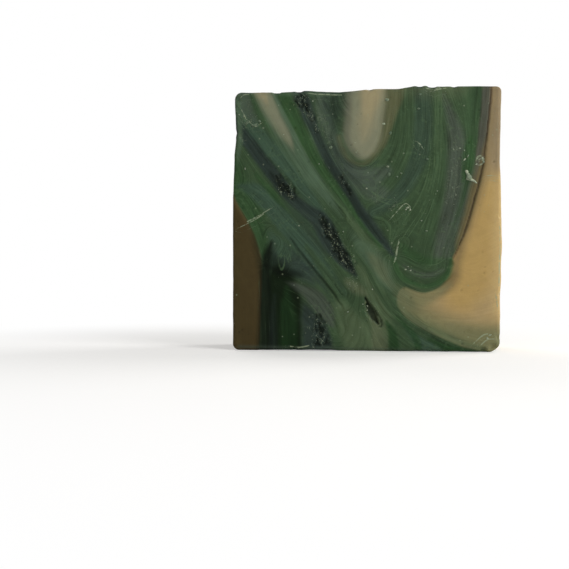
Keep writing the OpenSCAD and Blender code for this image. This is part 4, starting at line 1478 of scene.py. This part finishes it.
@dataclass
class SoapBar:
    """The bar itself: one cast and cut piece, with the swirl running through it.

    Ripples are given by their height, their length and their layers.
    """

    outline: Outline = field(default_factory=Outline)
    swirl: Swirl = field(default_factory=Swirl)
    marks: Marks = field(default_factory=Marks)
    lines: FineLines = field(default_factory=FineLines)
    finish: SoapFinish = SoapFinish()
    spacing: float = 0.33
    edge_steps: int = 6
    fine_rings: int = 2
    wall_spacing: float = 0.6
    wall_blur: float = 0.8
    off_the_front: Span = (-0.8, -0.2)
    on_the_front: Span = (0.45, 0.9)
    ripple: Lattice = Lattice(3)
    cut_ripple: tuple[float, float, int] = (0.07, 11, 3)
    wall_ripple: tuple[float, float, int] = (0.16, 5, 3)
    drag_ripple: tuple[float, float, int] = (0.035, 1.1, 2)
    drag_stretch: float = 14.0
    uneven: Span = (0.8, 0.4)
    uneven_length: float = 2.2
    skin: float = 0.08
    base_band: float = 0.05
    scratched_facing: float = 0.02

    def rings(self) -> list[tuple[float, float, int]]:
        """Lists the rings round the walls, from the front face's to the back face's.

        Returns:
            For each ring, how far it lies inside the outline, its place through the slice, and its stride.
        """
        radius, half = self.outline.edge_radius, THICKNESS / 2
        turns = np.linspace(0, math.pi / 2, self.edge_steps + 1)
        front = [(radius * (1 - math.sin(turn)), -half + radius * (1 - math.cos(turn)), 1) for turn in turns]
        lead = [(0.0, -half + radius + 2 * self.spacing * (k + 1), 1) for k in range(self.fine_rings)]
        start = lead[-1][1]
        count = round((half - radius - start) / self.wall_spacing)
        wall = [(0.0, start + (half - radius - start) * (k + 1) / count, 2) for k in range(count)]
        turns = np.linspace(math.pi / 2, 0, self.edge_steps)[1:-1]
        back = [(radius * (1 - math.sin(turn)), half - radius * (1 - math.cos(turn)), 2) for turn in turns]
        return front + lead + wall + back

    def round_the_bar(self, inset: float, stride: int) -> np.ndarray:
        """Draws the closed outline, from the middle of the left corner at the base round by the right.

        Args:
            inset: How far inside the outline the ring lies.
            stride: 1 for every point, 2 for every second one.

        Returns:
            Across and up, one point to a row.
        """
        base, right, top, left = (self.outline.side(side, inset, self.spacing)[::stride]
                                  for side in (Side.BASE, Side.RIGHT, Side.TOP, Side.LEFT))
        return np.concatenate([base[:-1], right[:-1], top[::-1][:-1], left[::-1][:-1]])

    def cut_net(self, through: float, stride: int, count: int) -> tuple[np.ndarray, Faces, np.ndarray]:
        """Builds the net of a cut face.

        Args:
            through: Its place through the slice, below 0 for the front.
            stride: 1 for the whole net, 2 for every second line of it.
            count: How many points the bar has before it.

        Returns:
            The places of its points, its faces, and the numbers of its border points in ring order.
        """
        grid = self.outline.cut_face(self.outline.edge_radius, self.spacing, stride)
        columns, rows = grid.shape[:2]
        number = count + np.arange(columns * rows).reshape(columns, rows)
        quads = np.stack([number[:-1, :-1], number[1:, :-1], number[1:, 1:], number[:-1, 1:]], axis=-1)
        quads = quads.reshape(-1, 4)[:, ::1 if through < 0 else -1]
        border = np.concatenate([number[:-1, 0], number[-1, :-1],
                                 number[::-1, -1][:-1], number[0, ::-1][:-1]])
        return at_depth(grid.reshape(-1, 2), through), quads.tolist(), border

    def net(self) -> tuple[np.ndarray, Faces]:
        """Builds the net of the bar before any mark.

        Returns:
            The places of its points, and its faces.
        """
        front, faces, last = self.cut_net(FRONT, 1, 0)
        places, count, stride = [front], len(front), 1
        for inset, through, ring_stride in self.rings()[1:]:
            places.append(at_depth(self.round_the_bar(inset, ring_stride), through))
            number = count + np.arange(len(places[-1]))
            faces += self.strip(last, number, stride != ring_stride)
            count += len(number)
            last, stride = number, ring_stride
        back, back_faces, border = self.cut_net(-FRONT, stride, count)
        faces += back_faces + self.strip(last, border, False)
        return np.concatenate([*places, back]), faces

    @staticmethod
    def strip(ahead: np.ndarray, behind: np.ndarray, halved: bool) -> Faces:
        """Joins two rings.

        Args:
            ahead: Numbers of the points of the ring nearer the front.
            behind: Numbers of the points of the ring nearer the back.
            halved: Whether the ring behind has half as many points.

        Returns:
            The faces between them.
        """
        if not halved:
            return np.stack([ahead, behind, np.roll(behind, -1), np.roll(ahead, -1)], axis=1).tolist()
        first, middle, last = ahead[0::2], ahead[1::2], np.roll(ahead, -1)[1::2]
        following = np.roll(behind, -1)
        corners = [np.stack([first, behind, middle], axis=1), np.stack([middle, behind, following], axis=1),
                   np.stack([middle, following, last], axis=1)]
        return np.concatenate(corners).tolist()

    @staticmethod
    def normals(places: np.ndarray, faces: Faces) -> np.ndarray:
        """Works out which way the surface faces at each point.

        Args:
            places: The points, one to a row.
            faces: The faces between them.

        Returns:
            The outward directions, one to a row.
        """
        total = np.zeros_like(places)
        for size in (3, 4):
            group = np.array([face for face in faces if len(face) == size])
            way = np.cross(places[group[:, 2]] - places[group[:, 0]],
                           places[group[:, -1]] - places[group[:, 1]])
            for corner in range(size):
                np.add.at(total, group[:, corner], way)
        return total / np.maximum(np.linalg.norm(total, axis=1, keepdims=True), TINY)

    def rippled(self, kind: tuple[float, float, int], place: np.ndarray) -> np.ndarray:
        """Reads one kind of ripple at places."""
        height, length, layers = kind
        return height * self.ripple.layered(place, length, layers)

    def swells(self, places: np.ndarray, out: np.ndarray, flow: np.ndarray) -> np.ndarray:
        """Adds up the ripples of the cut, the swells of the walls and the drag of the wire.

        Args:
            places: Places on the surface, one to a row.
            out: Which way it faces there.
            flow: Across, up and the number of the flow line there, as the pour drew them.

        Returns:
            How far the surface lies below the plain one.
        """
        cut = np.abs(out[:, 1])
        wave = self.rippled(self.cut_ripple, places) * cut
        wave += self.rippled(self.wall_ripple, places) * (1 - cut)
        return wave + self.rippled(self.drag_ripple, flow / (self.drag_stretch, self.drag_stretch, 1))

    def build(self) -> bpy.types.Object:
        """Builds the bar and puts it in the place of the solid.

        Returns:
            The piece.
        """
        plain, faces = self.net()
        places = self.outline.settled(plain)
        out = self.normals(places, faces)
        drawn = self.swirl.drawn_at(places)
        stream = self.swirl.stream(drawn)
        batter = self.swirl.blend(drawn, self.wall_blur * ramp(out[:, 1], *self.off_the_front))
        facing = ramp(-out[:, 1], *self.on_the_front)
        relief = self.marks.leave(places, facing)
        uneven = self.uneven[0] + self.uneven[1] * self.ripple.at(places, self.uneven_length)
        depth = relief.depth + batter[:, 3] * uneven
        depth += self.swells(places, out, np.column_stack([drawn, stream])) + self.skin
        base = places[:, 2] < self.base_band
        depth[base] = np.maximum(depth[base], 0)
        flat = plain[:, [0, 2]]
        # Films of batter, and painted highlights along the left and top edges.
        self.marks.smear(flat, facing, batter[:, :3])
        elsewhere = np.where(facing > self.scratched_facing, 0.0, self.lines.reach)
        # The hollow key carries painted shade; the rim key carries chalk, loose crumbs and a painted highlight
        # on groove lips.
        kept = {
            "marbling": batter[:, :3], "grain": batter[:, 4], "hollow": relief.dark, "rim": relief.pale,
            "stream": stream, "scratch": self.lines.away(Pale.SCRATCH, flat) + elsewhere,
            "thread": self.lines.away(Pale.THREAD, drawn),
        }
        piece = make_piece("marbled_bar", places - out * depth[:, None], faces, self.finish.build(), kept)
        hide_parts(NODE)
        return piece


@dataclass
class Crumbs:
    """Crumbs and flakes of soap that stick to the front cut face.

    A placed crumb is across, up, length, width, lean in degrees and paleness. A dusting is its middle across
    and up, how far it spreads across and up, and its count of crumbs.
    """

    share: float = 0.66
    thickness: float = 0.5
    rooted: float = 0.06
    paleness: float = 0.85
    seed: int = 23
    uneven: Span = (0.72, 1.12)
    dust_length: Span = (0.08, 0.17)
    dust_width: Span = (0.6, 1)
    dust_paleness: Span = (0.1, 0.8)
    finish: CrumbFinish = CrumbFinish()
    placed: tuple[tuple[float, float, float, float, float, float], ...] = (
        (28.5, 50.5, 0.9, 0.7, -70, 1.1), (28.9, 49.6, 1.5, 0.8, -62, 0.65),
        (29.1, 48.9, 1.5, 1.2, -55, 0.55), (28.9, 48.4, 1.1, 0.7, -15, 0.75),
        (29.8, 48.2, 1.7, 0.6, -28, 1.1), (30.8, 47.6, 1.1, 0.4, -38, 0.95),
        (31.1, 52.5, 0.45, 0.3, 30, 1.0), (32.7, 54.1, 0.6, 0.35, 75, 0.9),
        (33.1, 53.2, 0.5, 0.3, -50, 0.7), (32.3, 52.5, 0.5, 0.25, 10, 0.8),
        (27.9, 53.9, 0.8, 0.35, 50, 0.9), (28.8, 54.8, 0.7, 0.3, 60, 0.4), (26.6, 57, 0.5, 0.3, 10, 0.7),
        (27.8, 56.4, 0.4, 0.3, 30, 0.5), (12.2, 40.6, 0.8, 0.5, 20, 0.7), (12.9, 40, 0.5, 0.4, 80, 0.9),
        (11.7, 40.1, 0.4, 0.3, 120, 0.9), (-31.4, 65, 1.5, 0.7, 20, 0.35), (-33.6, 65.6, 1.1, 0.6, 50, 0.3),
        (-34.6, 67.6, 0.7, 0.5, 60, 0.5), (-30, 66, 0.8, 0.5, -40, 0.3), (-36, 68, 0.4, 0.3, 0, 0.6),
        (-9.5, 58, 0.9, 0.6, 35, 0.35), (6.4, 71.2, 0.7, 0.9, 80, 0.55), (5.5, 64.4, 0.7, 0.5, 0, 0.9),
        (7.3, 61.7, 0.8, 0.6, 60, 0.2), (6.6, 52.3, 0.6, 0.45, 0, 0.5), (6.9, 50, 1.1, 0.7, 80, 0.2),
        (10.4, 50.3, 0.5, 0.4, 0, 0.4), (15.2, 68.4, 0.7, 0.5, 20, 0.15), (15.6, 72.4, 0.7, 0.5, 40, 0.25),
        (24.8, 56.8, 0.5, 0.4, 0, 0.5), (17.6, 54.2, 0.6, 0.5, 0, 0.35), (9.2, 49.4, 0.5, 0.4, 0, 0.3),
        (0.7, 46.2, 0.35, 0.3, 0, 1.1), (11.6, 23.2, 0.5, 0.3, 0, 0.8), (13, 22.9, 0.4, 0.3, 0, 0.8),
        (12.3, 24, 0.3, 0.25, 0, 0.7), (0.9, 12.9, 0.35, 0.25, -60, 1.1), (0.8, 11.7, 0.3, 0.2, 0, 1.0),
        (-0.4, 13.4, 0.35, 0.25, 0, 0.7), (-23, 62, 0.3, 0.3, 0, 0.7), (-12.8, 53.4, 0.4, 0.3, 0, 0.6),
        (16, 36.9, 0.35, 0.3, 0, 0.6), (17.4, 34, 0.6, 0.3, 0, 0.5), (-18.6, 35.8, 0.4, 0.3, 0, 0.7),
        (2.3, 17.6, 0.3, 0.3, 0, 1.0), (-34.2, 52.4, 0.3, 0.6, 0, 0.6), (-2.6, 59.2, 0.25, 0.25, 0, 0.8),
        (34.1, 4, 0.5, 0.4, 0, 0.9), (34.9, 4.9, 0.7, 0.3, 20, 0.9), (-14.6, 71.4, 0.3, 0.25, 0, 1.0),
        (-5.9, 34, 0.3, 0.3, 0, 0.7), (20.4, 45.2, 0.3, 0.25, 0, 0.6), (24.6, 46, 0.3, 0.25, 0, 0.5),
        (-4.6, 11.2, 0.35, 0.3, 0, 0.7),
    )
    dusted: tuple[tuple[float, float, float, float, int], ...] = (
        (-17.4, 71.6, 2.2, 1.8, 34), (-22.6, 46.6, 1.8, 1.8, 16), (-7.6, 30.4, 1.8, 3.4, 30),
        (-3.4, 19.6, 1.6, 1.9, 44), (-12.6, 6, 2, 3.6, 30), (-33, 66, 2.4, 2, 44),
        (32.3, 53.5, 1.3, 1.1, 34), (20, 73.2, 3, 0.5, 16), (9.4, 40, 2.4, 1.6, 12),
        (12.4, 23.4, 1.2, 0.8, 8), (4, 50, 26, 20, 24),
    )

    def lump(self, chance: np.random.Generator) -> tuple[np.ndarray, Faces]:
        """Makes one rough lump about 1 across in every way.

        Args:
            chance: Where its random draws come from.

        Returns:
            Its points and faces.
        """
        golden = (1 + math.sqrt(5)) / 2
        corners = np.array([
            (-1, golden, 0), (1, golden, 0), (-1, -golden, 0), (1, -golden, 0),
            (0, -1, golden), (0, 1, golden), (0, -1, -golden), (0, 1, -golden),
            (golden, 0, -1), (golden, 0, 1), (-golden, 0, -1), (-golden, 0, 1),
        ]) / math.hypot(1, golden)
        faces = [
            (0, 11, 5), (0, 5, 1), (0, 1, 7), (0, 7, 10), (0, 10, 11), (1, 5, 9), (5, 11, 4),
            (11, 10, 2), (10, 7, 6), (7, 1, 8), (3, 9, 4), (3, 4, 2), (3, 2, 6), (3, 6, 8),
            (3, 8, 9), (4, 9, 5), (2, 4, 11), (6, 2, 10), (8, 6, 7), (9, 8, 1),
        ]
        points, halfway, finer = list(corners), {}, []
        for face in faces:
            middles = []
            for a, b in zip(face, face[1:] + face[:1]):
                key = (min(a, b), max(a, b))
                if key not in halfway:
                    halfway[key] = len(points)
                    points.append((points[a] + points[b]) / np.linalg.norm(points[a] + points[b]))
                middles.append(halfway[key])
            finer += [(face[0], middles[0], middles[2]), (face[1], middles[1], middles[0]),
                      (face[2], middles[2], middles[1]), tuple(middles)]
        return np.array(points) * chance.uniform(*self.uneven, (len(points), 1)), finer

    def dust(self, chance: np.random.Generator) -> list[tuple[float, ...]]:
        """Draws the crumbs of the dustings.

        Args:
            chance: Where its random draws come from.

        Returns:
            The crumbs, in the way that placed ones are given.
        """
        crumbs = []
        for across, up, wide, high, count in self.dusted:
            for _ in range(count):
                size = chance.uniform(*self.dust_length)
                crumbs.append((across + chance.uniform(-1, 1) * wide, up + chance.uniform(-1, 1) * high, size,
                               size * chance.uniform(*self.dust_width), chance.uniform(0, 180),
                               chance.uniform(*self.dust_paleness)))
        return crumbs

    def build(self) -> bpy.types.Object:
        """Builds all the crumbs as one piece.

        Returns:
            The piece.
        """
        chance = np.random.default_rng(self.seed)
        vertices, faces, paleness = [], [], []
        count = 0
        for across, up, long, wide, lean, pale in [*self.placed, *self.dust(chance)]:
            points, corners = self.lump(chance)
            stood = self.share * points * np.array([long, min(long, wide) * self.thickness, wide])
            c, s = math.cos(math.radians(lean)), math.sin(math.radians(lean))
            turned = stood @ np.array([[c, 0, s], [0, 1, 0], [-s, 0, c]])
            vertices.append(turned + np.array([across, FRONT + self.rooted, up]))
            faces += [tuple(count + k for k in corner) for corner in corners]
            paleness.append(np.full(len(points), self.paleness * pale))
            count += len(points)
        kept = {"paleness": np.concatenate(paleness)}
        return make_piece("stuck_crumbs", np.concatenate(vertices), faces, self.finish.build(), kept)


@dataclass(frozen=True)
class Lamp:
    """A square soft lamp that looks at the middle of the bar."""

    name: str
    place_m: tuple[float, float, float]
    side_m: float
    watts: float
    looks_at_m: tuple[float, float, float] = (0, 0, 0.037)

    def hang(self) -> None:
        """Hangs the lamp."""
        light = bpy.data.lights.new(self.name, "AREA")
        light.shape = "SQUARE"
        light.size = self.side_m
        light.energy = self.watts
        lamp = bpy.data.objects.new(self.name, light)
        lamp.location = self.place_m
        lamp.rotation_mode = "QUATERNION"
        lamp.rotation_quaternion = (Vector(self.looks_at_m) - Vector(self.place_m)).to_track_quat("-Z", "Y")
        bpy.context.scene.collection.objects.link(lamp)


@dataclass
class Studio:
    """A pale floor, a white surround, soft lamps and the camera."""

    floor_half_m: float = 3.0
    floor_colour: tuple[float, float, float, float] = (0.86, 0.85, 0.83, 1)
    floor_lift: float = 0.3
    white_m: Span = (0.05, 0.2)
    even_light: float = 0.24
    even_colour: tuple[float, float, float, float] = (1, 0.98, 0.95, 1)
    lamps: tuple[Lamp, ...] = (
        Lamp("key", (0.38, -0.3, 0.24), 0.28, 1.75),
        Lamp("fill", (-0.5, -0.6, 0.5), 0.5, 0.5),
        Lamp("right", (0.55, 0.3, 0.4), 0.35, 2.0),
        Lamp("back", (-0.4, 0.6, 0.4), 0.5, 1.6),
    )
    camera_mm: tuple[float, float, float] = (1.6, -226.15, 17.98)
    camera_yaw: float = 6.5
    nearest_m: float = 0.01
    focal_px: float = 749.5
    image_px: float = 569.0
    horizon_px: float = 288.0
    sensor: float = 36.0

    def floor(self) -> None:
        """Lays the floor, which keeps the bar's shadow and turns white further off."""
        g = Graph(bpy.data.materials.new("pale_floor"))
        where = g.add("ShaderNodeNewGeometry").outputs["Position"]
        away = g.add("ShaderNodeVectorMath", {0: where}, operation="LENGTH").outputs["Value"]
        seen = g.seen()
        dull = g.add("ShaderNodeBsdfDiffuse", {"Color": self.floor_colour}).outputs[0]
        lift = g.add("ShaderNodeEmission", {"Color": WHITE, "Strength": g.product(seen, self.floor_lift)})
        lifted = g.add("ShaderNodeAddShader", {0: dull, 1: lift.outputs[0]}).outputs[0]
        white = g.add("ShaderNodeEmission", {"Color": WHITE, "Strength": 1.0}).outputs[0]
        share = g.product(g.ramp(away, self.white_m), seen)
        mixed = g.add("ShaderNodeMixShader", {0: share, 1: lifted, 2: white})
        g.add("ShaderNodeOutputMaterial", {0: mixed.outputs[0]})
        mesh = bpy.data.meshes.new("floor")
        half = self.floor_half_m
        corners = [(-half, -half, 0), (half, -half, 0), (half, half, 0), (-half, half, 0)]
        mesh.from_pydata(corners, [], [(0, 1, 2, 3)])
        mesh.materials.append(g.owner)
        floor = bpy.data.objects.new("floor", mesh)
        bpy.context.scene.collection.objects.link(floor)

    def surround(self) -> None:
        """Makes the world white to the camera and a soft even light to the bar."""
        g = Graph(bpy.data.worlds.new("surround"))
        bpy.context.scene.world = g.owner
        soft = g.add("ShaderNodeBackground", {"Color": self.even_colour, "Strength": self.even_light})
        white = g.add("ShaderNodeBackground", {"Color": WHITE, "Strength": 1.0})
        mixed = g.add("ShaderNodeMixShader", {0: g.seen(), 1: soft.outputs[0], 2: white.outputs[0]})
        g.add("ShaderNodeOutputWorld", {0: mixed.outputs[0]})

    def camera(self) -> None:
        """Sets up the camera at the viewing angle of the reference."""
        data = bpy.data.cameras.new("camera")
        data.sensor_width = self.sensor
        data.lens = self.focal_px * self.sensor / self.image_px
        data.shift_y = (self.horizon_px - self.image_px / 2) / self.image_px
        data.clip_start = self.nearest_m
        camera = bpy.data.objects.new("camera", data)
        camera.location = [value * MM for value in self.camera_mm]
        camera.rotation_euler = (math.radians(90), 0, math.radians(self.camera_yaw))
        bpy.context.scene.collection.objects.link(camera)
        bpy.context.scene.camera = camera

    def build(self) -> None:
        """Builds the whole studio."""
        bpy.context.scene.view_settings.view_transform = "Standard"
        self.floor()
        self.surround()
        for lamp in self.lamps:
            lamp.hang()
        self.camera()


def main() -> None:
    """Builds the studio and the pieces in order."""
    logging.basicConfig(level=logging.INFO, format="%(message)s")
    Studio().build()
    for maker in (SoapBar(), Crumbs()):
        piece = maker.build()
        LOG.info("%s: %d points, %d faces", piece.name, len(piece.data.vertices), len(piece.data.polygons))


if __name__ == "__main__":
    main()
